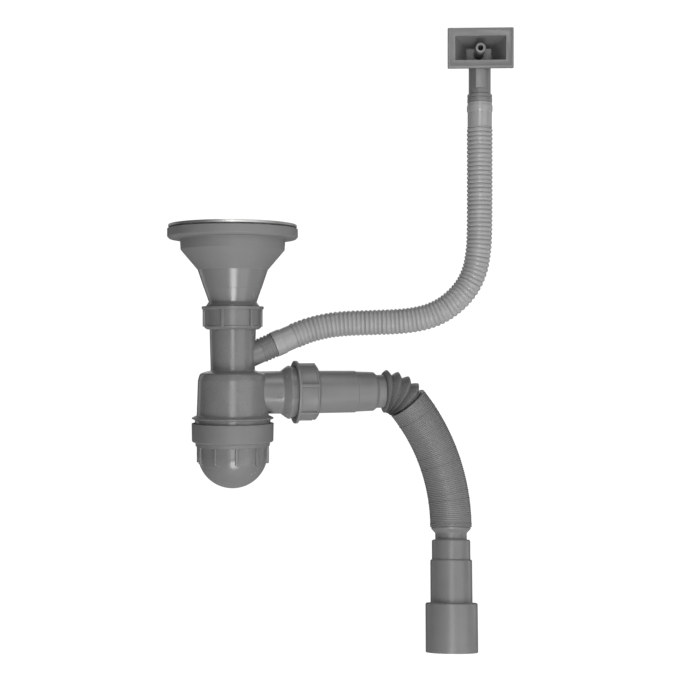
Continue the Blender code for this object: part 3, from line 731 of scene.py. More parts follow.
@dataclass
class Corrugated:
    """A corrugated hose along a route: rings between two smooth cuffs, by Geometry Nodes.

    The rings' phase follows the length along the route. A slow wander opens and closes their
    spacing, and now and then a ring stands a little proud, as on a hose that has been handled.
    """

    name: str
    crest: float
    valley: float
    pitch: float
    cuff_start: float = 0.0
    cuff_end: float = 0.0
    lead: float = 0.0
    pointed: float = 0.0
    sharpness: float = 0.7
    wander: float = 0.0
    uneven: float = 0.0
    step: float = 0.35
    sides: int = 72
    seed: int = 7

    def tree(self, material: bpy.types.Material) -> Tree:
        """Build the hose's tree.

        Args:
            material: The hose's material.

        Returns:
            The tree.
        """
        tree = Tree(self.name + "_rings")
        for label, value in (
            ("Crest", self.crest * MM),
            ("Valley", self.valley * MM),
            ("Pitch", self.pitch * MM),
            ("Cuff Start", self.cuff_start * MM),
            ("Cuff End", self.cuff_end * MM),
            ("Lead", self.lead * MM),
            ("Pointed", self.pointed),
            ("Sharpness", self.sharpness),
            ("Wander", self.wander),
            ("Uneven", self.uneven * MM),
            ("Step", self.step * MM),
            ("Sides", self.sides),
            ("Seed", self.seed),
        ):
            tree.add_input(label, value)
        even = tree.node(
            "GeometryNodeResampleCurve",
            {"Curve": tree.entry.outputs[0], "Length": tree.value("Step")},
            mode="LENGTH",
        )
        along = tree.node("GeometryNodeSplineParameter").outputs["Length"]
        total = tree.node("GeometryNodeSplineLength").outputs["Length"]
        past = tree.math("SUBTRACT", along, tree.value("Cuff Start"))
        left = tree.math("SUBTRACT", tree.math("SUBTRACT", total, along), tree.value("Cuff End"))
        moving = tree.math("ADD", tree.math("MULTIPLY", along, 60.0), tree.value("Seed"))
        drift = tree.node(
            "ShaderNodeTexNoise",
            {"W": moving, "Scale": 1.0, "Detail": 2.0},
            noise_dimensions="1D",
        ).outputs[0]
        shift = tree.math("MULTIPLY", tree.math("SUBTRACT", drift, 0.5), tree.value("Wander"))
        turns = tree.math("DIVIDE", tree.math("ADD", past, tree.value("Lead")), tree.value("Pitch"))
        phase = tree.math("ADD", turns, shift)
        wave = tree.math("ABSOLUTE", tree.math("SINE", tree.math("MULTIPLY", phase, math.pi)))
        rounded_ridge = tree.math("POWER", wave, tree.value("Sharpness"))
        folded_ridge = tree.math("MULTIPLY", tree.math("PINGPONG", phase, 0.5), 2.0)
        ridge = self.between(tree, tree.value("Pointed"), rounded_ridge, folded_ridge)
        luck = tree.node(
            "ShaderNodeTexWhiteNoise",
            {"W": tree.math("ADD", tree.math("FLOOR", phase), tree.value("Seed"))},
            noise_dimensions="1D",
        ).outputs[0]
        proud = tree.math("MULTIPLY", tree.math("POWER", luck, 9.0), tree.value("Uneven"))
        ring = self.between(tree, ridge, tree.value("Valley"), tree.math("ADD", tree.value("Crest"), proud))
        inside = tree.math(
            "MULTIPLY", tree.math("GREATER_THAN", past, 0.0), tree.math("GREATER_THAN", left, 0.0)
        )
        own = tree.node("GeometryNodeInputRadius").outputs[0]
        radius = self.between(tree, inside, own, ring)
        sized = tree.node("GeometryNodeSetCurveRadius", {"Curve": even.outputs[0], "Radius": radius})
        hoop = tree.node(
            "GeometryNodeCurvePrimitiveCircle", {"Resolution": tree.value("Sides"), "Radius": 1.0}
        )
        skin = tree.node(
            "GeometryNodeCurveToMesh",
            {"Curve": sized.outputs[0], "Profile Curve": hoop.outputs[0], "Fill Caps": True},
        )
        if "Scale" in skin.inputs:
            radius_field = tree.node("GeometryNodeInputRadius").outputs[0]
            tree.group.links.new(radius_field, skin.inputs["Scale"])
        smooth = tree.node("GeometryNodeSetShadeSmooth", {"Geometry": skin.outputs[0], "Shade Smooth": True})
        tree.finish(smooth.outputs[0], material)
        return tree

    @staticmethod
    def between(tree: Tree, factor: object, first: object, second: object) -> Socket:
        """A number between two others, by a factor."""
        return tree.node("ShaderNodeMix", {0: factor, 2: first, 3: second}, data_type="FLOAT").outputs[0]

    def build(self, points: Sequence[Vector], radii: Sequence[float], finish: Finish) -> Piece:
        """Run the tree along a route and weld its caps.

        Args:
            points: The route, in metres.
            radii: The radius outside the rings at each point, in metres.
            finish: The hose's finish.

        Returns:
            A closed tube.
        """
        hose = self.tree(finish_material(finish)).run(polyline(self.name, points, radii))
        shape = bmesh.new()
        shape.from_mesh(hose.data)
        bmesh.ops.remove_doubles(shape, verts=shape.verts, dist=1e-6)
        bmesh.ops.recalc_face_normals(shape, faces=shape.faces)
        shape.to_mesh(hose.data)
        shape.free()
        return hose


@dataclass
class Ribs:
    """Rounded upright ribs spaced evenly round Z, by Geometry Nodes."""

    count: int
    inner: float
    outer: float
    width: float
    low: float
    high: float
    first: float = 0.0
    edge: float = 0.6

    def build(self, name: str) -> Piece:
        """Make one rib and repeat it round the axis."""
        size = (self.outer - self.inner, self.width, self.high - self.low)
        centre = ((self.inner + self.outer) / 2, 0.0, (self.low + self.high) / 2)
        return round_axis(block(name, size, centre, self.edge), self.count, self.first)


def round_axis(shape: Piece, count: int, first: float = 0.0) -> Piece:
    """Copies of a shape round Z.

    Args:
        shape: The shape, already out at its radius. It is replaced.
        count: How many copies.
        first: The first copy's turn, in degrees.

    Returns:
        One mesh of them all.
    """
    tree = Tree(shape.name + "_round_axis")
    tree.add_input("Count", count)
    tree.add_input("First Turn", math.radians(first))
    line = tree.node("GeometryNodeMeshLine", {"Count": tree.value("Count"), "Offset": (0.0, 0.0, 0.0)})
    index = tree.node("GeometryNodeInputIndex").outputs[0]
    share = tree.math("DIVIDE", index, tree.value("Count"))
    turn = tree.math("MULTIPLY_ADD", share, 2 * math.pi, tree.value("First Turn"))
    rotation = tree.node("ShaderNodeCombineXYZ", {"Z": turn})
    copies = tree.node(
        "GeometryNodeInstanceOnPoints",
        {"Points": line.outputs[0], "Instance": tree.entry.outputs[0], "Rotation": rotation.outputs[0]},
    )
    tree.finish(copies.outputs[0], finish_material(FINISHES.grey))
    return tree.run(shape)


def hole_ring(name: str, count: int, ring_r: float, hole_r: float, low: float, high: float) -> Piece:
    """Round cutters in a ring, in millimetres.

    Args:
        name: The cutter's name.
        count: How many holes.
        ring_r: The radius of the ring that they stand on.
        hole_r: The radius of each.
        low: Their lower end.
        high: Their upper end.

    Returns:
        One mesh of them all.
    """
    peg = rod(name, hole_r, high, low, 24)
    place(peg, Matrix.Translation((ring_r * MM, 0, 0)))
    return round_axis(peg, count)


def dressed(
    piece: Piece, finish: Finish, body: Body | None, nodes: Iterable[str], angle: float = 32.0
) -> Piece:
    """Give a finished piece its material and body, and hide the CAD nodes that it stands for.

    Args:
        piece: The finished piece.
        finish: Its finish.
        body: The body that it rides on, or None to leave it on no body.
        nodes: The nodes that it replaces.
        angle: The angle over which its edges are sharp.

    Returns:
        The piece.
    """
    shade(piece, angle)
    piece.data.materials.clear()
    piece.data.materials.append(finish_material(finish))
    piece.data.polygons.foreach_set("material_index", [0] * len(piece.data.polygons))
    if body:
        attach(piece, body.value)
    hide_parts(*nodes)
    LOG.info("%s: %d faces", piece.name, len(piece.data.polygons))
    return piece


def extent(node: str) -> tuple[Vector, Vector]:
    """A node's lowest and highest corners, in millimetres."""
    low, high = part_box(node)
    return Vector(low) / MM, Vector(high) / MM


# ---------------------------------------------------------------------------------------------
# Sub-assemblies
# ---------------------------------------------------------------------------------------------


@dataclass
class SinkWaste:
    """Pressed steel bowl with its gasket and screw, and the moulded funnel that they clamp."""

    flange_r: float = 60.5
    flange_t: float = 1.2
    bowl_r: float = 42.7
    bowl_t: float = 1.2
    bowl_depth: float = 28.3
    seat_r: float = 37.4
    seat_top: float = 10.4
    seat_depth: float = 3.6
    screw_r: float = 3.0
    screw_head_r: float = 6.0
    rim_r: float = 61.5
    rim_t: float = 9.5
    collar_r: float = 49.6
    collar_length: float = 10.2
    cone_r: float = 33.0
    cone_length: float = 18.9
    throat_length: float = 30.2
    thread_r: float = 24.2
    wall: float = 2.6
    boss_r: float = 7.0
    boss_length: float = 11.5
    vane_t: float = 2.4
    vanes: int = 3
    gap: float = GAP

    def build(self) -> None:
        """Build every fixed piece of the waste."""
        self.build_bowl()
        self.build_gasket()
        self.build_funnel()
        self.build_screw()

    def build_bowl(self) -> None:
        """The pressed bowl, its flange dished up to its rim, with a ring of drain holes."""
        inner = self.bowl_r - self.bowl_t
        seat_end = self.seat_top + self.seat_depth
        depth, thick, hole = self.bowl_depth, self.bowl_t, self.screw_r + self.gap
        bowl = turned(
            "strainer_bowl_pressing",
            [
                (self.flange_r, 0.35, 0.5),
                (self.flange_r, -self.flange_t - 0.9, 0.5),
                (self.flange_r - 1.1, -self.flange_t - 0.9, 0.3),
                (self.flange_r - 1.2, -self.flange_t + 0.1, 0.4),
                (self.flange_r - 5.0, -self.flange_t - 0.05, 3.0),
                (self.bowl_r + 0.5, -self.flange_t, 1.4),
                (self.bowl_r, -self.seat_top - 0.6, 1.6),
                (self.seat_r + thick, -seat_end - 0.5, 2.0),
                (self.seat_r, -depth + 3.8, 5.0),
                (self.seat_r - 4.2, -depth, 4.0),
                (hole, -depth, 0.2),
                (hole, -depth + thick, 0.2),
                (self.seat_r - 5.0, -depth + thick, 3.0),
                (self.seat_r - thick, -depth + 4.3, 4.0),
                (self.seat_r, -seat_end, 2.0),
                (inner, -self.seat_top, 1.6),
                (inner + 0.4, -0.6, 1.8),
                (self.flange_r - 5.0, -0.1, 3.0),
            ],
            160,
        )
        boolean(bowl, hole_ring("bowl_holes", 8, 21.0, 5.2, -depth - 1, -depth + 3), Operation.CUT)
        dressed(bowl, FINISHES.steel, Body.WASTE, ["strainer_bowl"])

    def build_gasket(self) -> None:
        """The gasket under the flange, a flat ring with rounded edges."""
        low, high = extent("flange_gasket")
        outer = high.x
        gasket = turned(
            "flange_gasket_ring",
            [
                (outer, high.z, 0.4),
                (outer, low.z, 0.4),
                (self.collar_r - self.wall, low.z, 0.3),
                (self.collar_r - self.wall, high.z, 0.3),
            ],
            160,
        )
        dressed(gasket, FINISHES.flange_rubber, Body.WASTE, ["flange_gasket"])

    def build_funnel(self) -> None:
        """The moulded funnel: rim, collar, two cones and the threaded spigot, with the screw's bridge."""
        low, high = extent("waste_funnel")
        rim_z, end_z = high.z, low.z
        rim_low = rim_z - self.rim_t
        shoulder = rim_low - self.collar_length
        cone = shoulder - self.cone_length
        neck = cone - self.throat_length
        neck_r = self.thread_r - 1.6
        bore_r = neck_r - 3.0
        mid_r = self.cone_r - 6.0
        funnel = turned(
            "waste_funnel_moulding",
            [
                (self.rim_r, rim_z, 0.5),
                (self.rim_r, rim_low + 1.9, 1.6),
                (self.rim_r - 2.0, rim_low, 0.9),
                (self.collar_r, rim_low, 1.0),
                (self.collar_r - 0.6, shoulder, 1.0),
                (self.cone_r, cone, 1.6),
                (mid_r + 0.15, cone - 17.4, 0.2),
                (mid_r - 0.1, cone - 17.7, 0.2),
                (neck_r + 0.5, neck + 1.6, 3.0),
                (neck_r, neck, 0.8),
                (self.thread_r + 0.7, neck - 3.4, 0.5),
                (self.thread_r + 0.7, neck - 3.9, 0.2),
                (self.thread_r, neck - 4.3, 0.2),
                (self.thread_r, end_z, 0.5),
                (bore_r, end_z, 0.5),
                (bore_r, neck - 3.4, 1.0),
                (bore_r + 1.2, neck + 3.6, 3.0),
                (mid_r - self.wall, cone - 17.9, 20.0),
                (self.cone_r - self.wall, cone - 0.9, 1.6),
                (self.collar_r - self.wall, shoulder - 0.6, 1.6),
                (self.collar_r - self.wall + 0.2, rim_z, 0.5),
            ],
            160,
            6,
        )
        top = -self.bowl_depth - 4.9
        vane_low = top - self.boss_length
        vanes = Ribs(self.vanes, self.boss_r - 2.0, self.collar_r, self.vane_t, vane_low, top - 1.0, edge=0.5)
        bridge = vanes.build("funnel_vanes")
        core = turned(
            "funnel_core",
            [
                (0, shoulder),
                (self.collar_r - self.wall / 2, shoulder),
                (self.cone_r - self.wall / 2, cone - 0.5),
                (mid_r - self.wall / 2, cone - 17.6),
                (0, cone - 17.6),
            ],
            160,
        )
        boolean(bridge, core, Operation.KEEP)
        boolean(funnel, bridge, Operation.JOIN)
        boss = turned(
            "funnel_boss",
            [(0, top), (self.boss_r, top, 0.6), (self.boss_r, vane_low, 0.6), (0, vane_low)],
            48,
        )
        boolean(funnel, boss, Operation.JOIN)
        bore = self.screw_r + 1.0 + self.gap
        cutter = rod("boss_bore", bore, top + 1, vane_low - 1, 48)
        boolean(funnel, cutter, Operation.CUT)
        dressed(funnel, FINISHES.funnel, Body.WASTE, ["waste_funnel"])
        self.build_insert(top, vane_low)

    def build_insert(self, top: float, low: float) -> None:
        """The threaded brass insert in the boss.

        Args:
            top: The boss's top.
            low: The boss's lower end.
        """
        outer, inner = self.screw_r + 1.0, self.screw_r + self.gap
        flange_top = top + self.gap + 1.1
        insert = turned(
            "funnel_insert_bush",
            [
                (6.2, flange_top, 0.3),
                (6.2, top + self.gap, 0.2),
                (outer, top + self.gap),
                (outer, low, 0.2),
                (inner, low, 0.2),
                (inner, flange_top, 0.2),
            ],
            64,
        )
        dressed(insert, FINISHES.brass, Body.WASTE, ["funnel_insert"])

    def build_screw(self) -> None:
        """The clamping screw, with a coin slot across its domed head."""
        low, high = extent("clamp_screw")
        head_z = -self.bowl_depth + self.bowl_t + self.gap
        screw = turned(
            "clamp_screw_turned",
            [
                (0, high.z),
                (self.screw_head_r - 1.6, high.z, 1.0),
                (self.screw_head_r, head_z + 0.9, 0.6),
                (self.screw_head_r, head_z, 0.3),
                (self.screw_r, head_z, 0.2),
                (self.screw_r, low.z + 0.8, 0.3),
                (self.screw_r - 0.8, low.z, 0.2),
                (0, low.z),
            ],
            64,
        )
        slot = block("screw_slot", (16.0, 1.4, 2.4), (0.0, 0.0, high.z), 0.0)
        boolean(screw, slot, Operation.CUT)
        dressed(screw, FINISHES.steel, Body.WASTE, ["clamp_screw"])


@dataclass
class StrainerBasket:
    """The lift-out basket with its knob, and the seal that plugs the bowl."""

    wall_r: float = 36.2
    seal_r: float = 40.6
    rim_z: float = -6.7
    floor_z: float = -22.6
    seat_end: float = 14.0
    thick: float = 1.0
    hole_rings: tuple[tuple[int, float, float], ...] = (
        (6, 7.6, 1.5),
        (12, 13.0, 1.9),
        (18, 19.2, 2.1),
        (22, 25.6, 2.3),
    )
    knob_r: float = 9.0
    stem_r: float = 3.4
    gap: float = GAP

    def build(self) -> None:
        """Build the three pieces that lift out together."""
        self.build_basket()
        self.build_seal()
        self.build_knob()

    def build_basket(self) -> None:
        """The pressed basket, its floor pierced by Geometry Nodes rings of holes."""
        wall, rim, floor, hole = self.wall_r, self.rim_z, self.floor_z, 3.3
        basket = turned(
            "basket_pressing",
            [
                (self.seal_r - 0.4, rim, 0.4),
                (self.seal_r - 0.4, rim - 1.0, 0.4),
                (wall, rim - 1.0, 1.0),
                (wall - 0.2, -self.seat_end + 0.5, 2.0),
                (wall - 2.0, floor + 1.6, 2.0),
                (wall - 3.7, floor, 2.0),
                (hole, floor, 0.2),
                (hole, floor + self.thick, 0.2),
                (wall - 4.1, floor + self.thick, 2.0),
                (wall - 3.0, floor + 2.0, 2.0),
                (wall - 1.2, -self.seat_end + 0.9, 2.0),
                (wall - 1.0, rim - 0.6, 0.8),
                (wall - 0.2, rim, 0.4),
            ],
            144,
        )
        for k, (count, ring_r, hole_r) in enumerate(self.hole_rings):
            cutter = hole_ring(f"basket_holes_{k}", count, ring_r, hole_r, floor - 2, floor + 3)
            boolean(basket, cutter, Operation.CUT)
        dressed(basket, FINISHES.steel, Body.BASKET, ["basket"])

    def build_seal(self) -> None:
        """The rubber seal with two fine lips."""
        low, high = extent("basket_seal")
        outer = high.x
        seal = turned(
            "basket_seal_ring",
            [
                (outer, high.z, 0.3),
                (outer, high.z - 1.0, 0.3),
                (outer - 0.5, high.z - 1.5, 0.3),
                (outer, high.z - 2.0, 0.3),
                (outer, high.z - 2.6, 0.4),
                (self.wall_r + 1.3, low.z, 0.4),
                (self.wall_r + self.gap, low.z, 0.2),
                (self.wall_r + self.gap, high.z, 0.2),
            ],
            144,
        )
        dressed(seal, FINISHES.rubber, Body.BASKET, ["basket_seal"])

    def build_knob(self) -> None:
        """The turned knob on its stem, with a dished top."""
        low, high = extent("basket_knob")
        stem, foot = self.stem_r, self.floor_z + self.thick + self.gap
        knob = turned(
            "basket_knob_turned",
            [
                (0, high.z - 0.7),
                (5.0, high.z - 0.5, 2.0),
                (6.9, high.z, 0.5),
                (self.knob_r, high.z - 1.4, 1.0),
                (self.knob_r, high.z - 3.0, 0.8),
                (4.2, high.z - 5.2, 2.0),
                (stem, high.z - 7.8, 2.0),
                (stem, foot + 1.8, 1.0),
                (6.0, foot + 1.0, 0.4),
                (6.0, foot, 0.2),
                (3.0, foot, 0.2),
                (3.0, low.z, 0.3),
                (0, low.z),
            ],
            80,
        )
        dressed(knob, FINISHES.steel, Body.BASKET, ["basket_knob"])


@dataclass
class UnionNut:
    """A ribbed union nut, its open end up at the origin and its lip below."""

    bore_r: float
    first_rib: float
    length: float = 21.8
    outer_r: float = 26.3
    rim_r: float = 29.2
    rim_t: float = 2.9
    rib_r: float = 28.5
    rib_w: float = 3.2
    ribs: int = 6
    lip_t: float = 3.2
    thread_r: float = 24.6

    def build(self, name: str) -> Piece:
        """The nut's mesh at the origin."""
        lip_z = self.lip_t - self.length
        nut = turned(
            name,
            [
                (self.rim_r, 0.0, 0.7),
                (self.rim_r, -self.rim_t, 0.9),
                (self.outer_r, -self.rim_t, 0.6),
                (self.outer_r, -self.length + 3.6, 0.5),
                (self.outer_r + 0.5, -self.length + 3.2, 0.3),
                (self.outer_r + 0.5, -self.length + 1.9, 1.2),
                (self.outer_r - 2.2, -self.length, 0.8),
                (self.bore_r, -self.length, 0.4),
                (self.bore_r, lip_z, 0.3),
                (self.thread_r, lip_z, 0.3),
                (self.thread_r, -0.8, 0.3),
                (self.thread_r + 0.8, 0.0, 0.3),
            ],
            144,
        )
        ribs = Ribs(
            self.ribs,
            self.outer_r - 0.8,
            self.rib_r,
            self.rib_w,
            -self.length + 2.6,
            -self.rim_t + 0.6,
            self.first_rib,
            0.7,
        )
        boolean(nut, ribs.build(name + "_ribs"), Operation.JOIN)
        return nut


@dataclass
class InletUnion:
    """Nut, slip washer and flat gasket that clamp the trap's tube to the funnel."""

    tube_r: float = 21.9
    first_rib: float = 1.3

    def build(self) -> None:
        """Build the nut, and dress the flat rings inside it."""
        top = extent("inlet_nut")[1].z
        nut = UnionNut(self.tube_r + 0.5, self.first_rib).build("inlet_nut_moulding")
        place(nut, Matrix.Translation((0, 0, top * MM)))
        dressed(nut, FINISHES.grey, Body.INLET_NUT, ["inlet_nut"])
        flat_ring("inlet_slip_washer", Body.INLET_WASHER, FINISHES.washer, self.tube_r + 0.5)
        flat_ring("inlet_gasket", Body.TRAP, FINISHES.rubber, self.tube_r - 2.1)


def flat_ring(node: str, body: Body, finish: Finish, bore_r: float, along_x: bool = False) -> None:
    """Replace a plain flat ring with one that has rounded edges.

    Args:
        node: The node that it stands for, whose box sets its place.
        body: The body that it rides on.
        finish: Its finish.
        bore_r: The radius of its hole.
        along_x: Whether its axis lies along X instead of Z.
    """
    low, high = extent(node)
    middle = (low + high) / 2
    axis = 0 if along_x else 2
    outer = (high[1] - low[1]) / 2
    half = (high[axis] - low[axis]) / 2
    corners = [(outer, half, 0.2), (outer, -half, 0.2), (bore_r, -half, 0.2), (bore_r, half, 0.2)]
    ring = turned(node + "_ring", corners, 96)
    turn = Matrix.Rotation(math.radians(90), 4, "Y") if along_x else Matrix.Identity(4)
    centre = (middle.x, 0, middle.z) if along_x else (0, 0, middle.z)
    place(ring, Matrix.Translation(Vector(centre) * MM) @ turn)
    dressed(ring, finish, body, [node])


@dataclass
class TrapBody:
    """One moulding: inlet tube, domed body, dip tube, outlet spigot and overflow branch."""

    thread_r: float = 24.2
    tube_top_r: float = 21.9
    tube_low_r: float = 20.8
    tube_bore_r: float = 18.4
    tube_flange_t: float = 2.5
    body_r: float = 33.9
    wall: float = 2.6
    body_length: float = 44.3
    flask_thread_r: float = 35.6
    skirt_r: float = 38.4
    dip_tube_r: float = 20.3
    outlet_drop: float = 20.4
    spigot_r: float = 20.4
    spigot_bore_r: float = 17.8
    collar_x: float = 46.5
    socket_x: float = 50.0
    socket_r: float = 20.9
    branch_rise: float = 7.3
    branch_pitch: float = 24.0
    branch_r: float = 11.2
    branch_bore_r: float = 8.6
    branch_length: float = 42.7
    barb_pitch: float = 3.6
    barbs: int = 4
    gate_r: float = 2.6
    gate_x: float = 42.5
    gate_drop: float = 2.7

    def build(self) -> None:
        """Build the moulding."""
        low, high = extent("trap_body")
        top = high.z
        inlet_nut_low = extent("inlet_nut")[0].z
        dome = inlet_nut_low - TUBE_LENGTH
        outlet_z = dome - self.outlet_drop
        socket_end = extent("outlet_cone_gasket")[0].x - GAP
        body = self.shell(top, dome, low.z)
        spigot, bore = self.outlet(socket_end, outlet_z)
        branch, branch_bore = self.branch(dome + self.branch_rise)
        boolean(spigot, self.dome_core(dome, low.z), Operation.CUT)
        boolean(branch, self.tube_core(low.z, top), Operation.CUT)
        boolean(body, spigot, Operation.JOIN)
        boolean(body, branch, Operation.JOIN)
        boolean(body, self.gate_mark(outlet_z), Operation.JOIN)
        boolean(body, bore, Operation.CUT)
        boolean(body, branch_bore, Operation.CUT)
        dressed(body, FINISHES.gloss, Body.TRAP, ["trap_body"])

    def shell(self, top: float, dome: float, end: float) -> Piece:
        """The turned shell with its dip tube.

        Args:
            top: The tube's flanged end.
            dome: Where the tube meets the dome.
            end: The dip tube's lower end.

        Returns:
            A closed solid.
        """
        skirt = dome - self.body_length
        wall_r = self.body_r - self.wall
        return turned(
            "trap_body_moulding",
            [
                (self.thread_r, top, 0.3),
                (self.thread_r, top - self.tube_flange_t, 0.5),
                (self.tube_top_r, top - self.tube_flange_t, 0.6),
                (self.tube_low_r, dome + 0.6, 1.4),
                (self.tube_low_r + 5.6, dome - 0.8, 6.0),
                (self.body_r - 3.0, dome - 2.2, 5.0),
                (self.body_r - 1.1, dome - 8.6, 8.0),
                (self.body_r, skirt + 2.6, 1.4),
                (self.skirt_r, skirt + 0.5, 0.5),
                (self.skirt_r, skirt - 0.5, 0.4),
                (self.flask_thread_r, skirt - 1.6, 0.5),
                (self.flask_thread_r, skirt - 18.1, 0.4),
                (self.flask_thread_r - 3.0, skirt - 18.1, 0.4),
                (wall_r, skirt + 2.6, 1.0),
                (wall_r - 0.8, dome - 9.4, 4.0),
                (self.body_r - 5.0, dome - 5.0, 3.0),
                (self.dip_tube_r, dome - 3.4, 1.0),
                (self.dip_tube_r - 1.0, end, 0.4),
                (self.tube_bore_r - 0.9, end, 0.4),
                (self.tube_bore_r, top, 0.4),
            ],
            144,
            6,
        )

    def dome_core(self, dome: float, end: float) -> Piece:
        """The space under the dome, out to the middle of its wall."""
        wall_r = self.body_r - self.wall + 0.5
        return turned(
            "dome_core",
            [
                (0, dome - 2.8),
                (24.0, dome - 2.8),
                (self.body_r - 4.6, dome - 4.7, 3.0),
                (wall_r - 0.8, dome - 9.2, 4.0),
                (wall_r, dome - self.body_length),
                (wall_r, end),
                (0, end),
            ],
            144,
        )

    def tube_core(self, low: float, high: float) -> Piece:
        """The tube's bore, out to the middle of its wall."""
        radius = (self.tube_low_r + self.tube_bore_r) / 2
        return rod("tube_core", radius, high, low, 144)

    def outlet(self, socket_end: float, outlet_z: float) -> tuple[Piece, Piece]:
        """The outlet spigot and its bore, lying along X.

        Args:
            socket_end: How far along X the threaded socket reaches.
            outlet_z: The outlet's height.

        Returns:
            The spigot and the cutter for its bore.
        """
        spigot = turned(
            "outlet_spigot",
            [
                (0, socket_end),
                (self.thread_r, socket_end, 0.6),
                (self.thread_r, self.collar_x + 8.2, 0.2),
                (self.thread_r + 1.2, self.collar_x + 8.2, 0.4),
                (self.thread_r + 1.2, self.collar_x + 6.4, 0.8),
                (self.thread_r - 0.6, self.collar_x + 3.6, 2.0),
                (self.spigot_r, self.collar_x - 0.6, 2.5),
                (self.spigot_r - 0.4, self.dip_tube_r),
                (0, self.dip_tube_r),
            ],
            96,
        )
        bore = turned(
            "outlet_bore",
            [
                (0, socket_end + 1),
                (self.socket_r, socket_end + 1),
                (self.socket_r, self.socket_x),
                (self.spigot_bore_r, self.socket_x),
                (self.spigot_bore_r, self.dip_tube_r + 1.0),
                (0, self.dip_tube_r + 1.0),
            ],
            96,
        )
        lying = laid_on_x(outlet_z)
        return place(spigot, lying), place(bore, lying)

    def branch(self, rise: float) -> tuple[Piece, Piece]:
        """The overflow branch with its hose barbs, and its bore.

        Args:
            rise: The height at which it leaves the trap's axis.

        Returns:
            The branch and the cutter for its bore.
        """
        corners: list[Corner] = [(0, self.branch_length)]
        for k in range(self.barbs):
            barb_z = self.branch_length - self.barb_pitch * k
            corners += [
                (self.branch_r, barb_z - 0.05, 0.2),
                (self.branch_r + 0.8, barb_z - 0.7, 0.3),
                (self.branch_r + 0.8, barb_z - 1.6, 0.3),
                (self.branch_r, barb_z - 2.3, 0.3),
            ]
        corners += [(self.branch_r, 0.0), (0, 0.0)]
        branch = turned("overflow_branch", corners, 72)
        bore = rod("branch_bore", self.branch_bore_r, self.branch_length + 1, 8.0, 72)
        tilt = Matrix.Rotation(math.radians(90 - self.branch_pitch), 4, "Y")
        leaning = Matrix.Translation((0, 0, rise * MM)) @ tilt
        return place(branch, leaning), place(bore, leaning)

    def gate_mark(self, outlet_z: float) -> Piece:
        """The faint round mark that the mould's gate leaves on the spigot's front."""
        depth = self.spigot_r + 0.15
        mark = turned(
            "gate_mark",
            [(0, depth), (self.gate_r, depth, 0.3), (self.gate_r, depth - 2.0), (0, depth - 2.0)],
            32,
        )
        facing = Matrix.Rotation(math.radians(90), 4, "X")
        centre = Vector((self.gate_x, 0, outlet_z - self.gate_drop)) * MM
        return place(mark, Matrix.Translation(centre) @ facing)


@dataclass
class Flask:
    """The screw-on flask with its finger ribs, and the gasket that seals it."""

    thread_r: float = 36.0
    collar_r: float = 38.65
    collar_length: float = 17.5
    bowl_r: float = 32.9
    wall: float = 2.2
    rib_r: float = 34.5
    rib_w: float = 3.2
    ribs: int = 10
    rib_turn: float = 16.5
    arc_steps: int = 22

    def build(self) -> None:
        """Build the flask and dress its gasket."""
        low, high = extent("flask")
        rim = high.z
        centre = low.z + self.bowl_r
        collar_low = rim - self.collar_length
        ledge = extent("flask_gasket")[0].z - GAP
        inner_r = self.bowl_r - self.wall
        outer_arc = self.arc(centre, self.bowl_r, 90, 180)
        inner_arc = self.arc(centre, inner_r, 180, 90)
        flask = turned(
            "flask_moulding",
            [
                *inner_arc,
                (inner_r, ledge, 0.4),
                (self.thread_r, ledge, 0.3),
                (self.thread_r, rim, 0.3),
                (self.collar_r, rim, 0.6),
                (self.collar_r - 0.3, collar_low + 1.0, 0.9),
                (self.collar_r - 1.0, collar_low, 0.5),
                (self.rib_r + 0.7, collar_low - 0.8, 0.5),
                (self.rib_r + 0.4, collar_low - 4.0, 0.5),
                (self.bowl_r, collar_low - 4.6, 0.5),
                *outer_arc,
            ],
            160,
        )
        ribs = Ribs(
            self.ribs,
            self.bowl_r - 1.3,
            self.rib_r,
            self.rib_w,
            centre - 9.0,
            collar_low - 3.6,
            self.rib_turn,
            0.7,
        )
        boolean(flask, ribs.build("flask_ribs"), Operation.JOIN)
        dressed(flask, FINISHES.flask, Body.FLASK, ["flask"])
        flat_ring("flask_gasket", Body.FLASK_SEAL, FINISHES.rubber, inner_r + 0.6)

    def arc(self, centre: float, radius: float, start: float, end: float) -> list[Corner]:
        """Points on a quarter circle about the axis, by angle from +Z in degrees."""
        points: list[Corner] = []
        for k in range(self.arc_steps + 1):
            angle = math.radians(start + (end - start) * k / self.arc_steps)
            r = radius * math.sin(angle)
            points.append((0.0 if r < 1e-6 else r, centre + radius * math.cos(angle)))
        return points


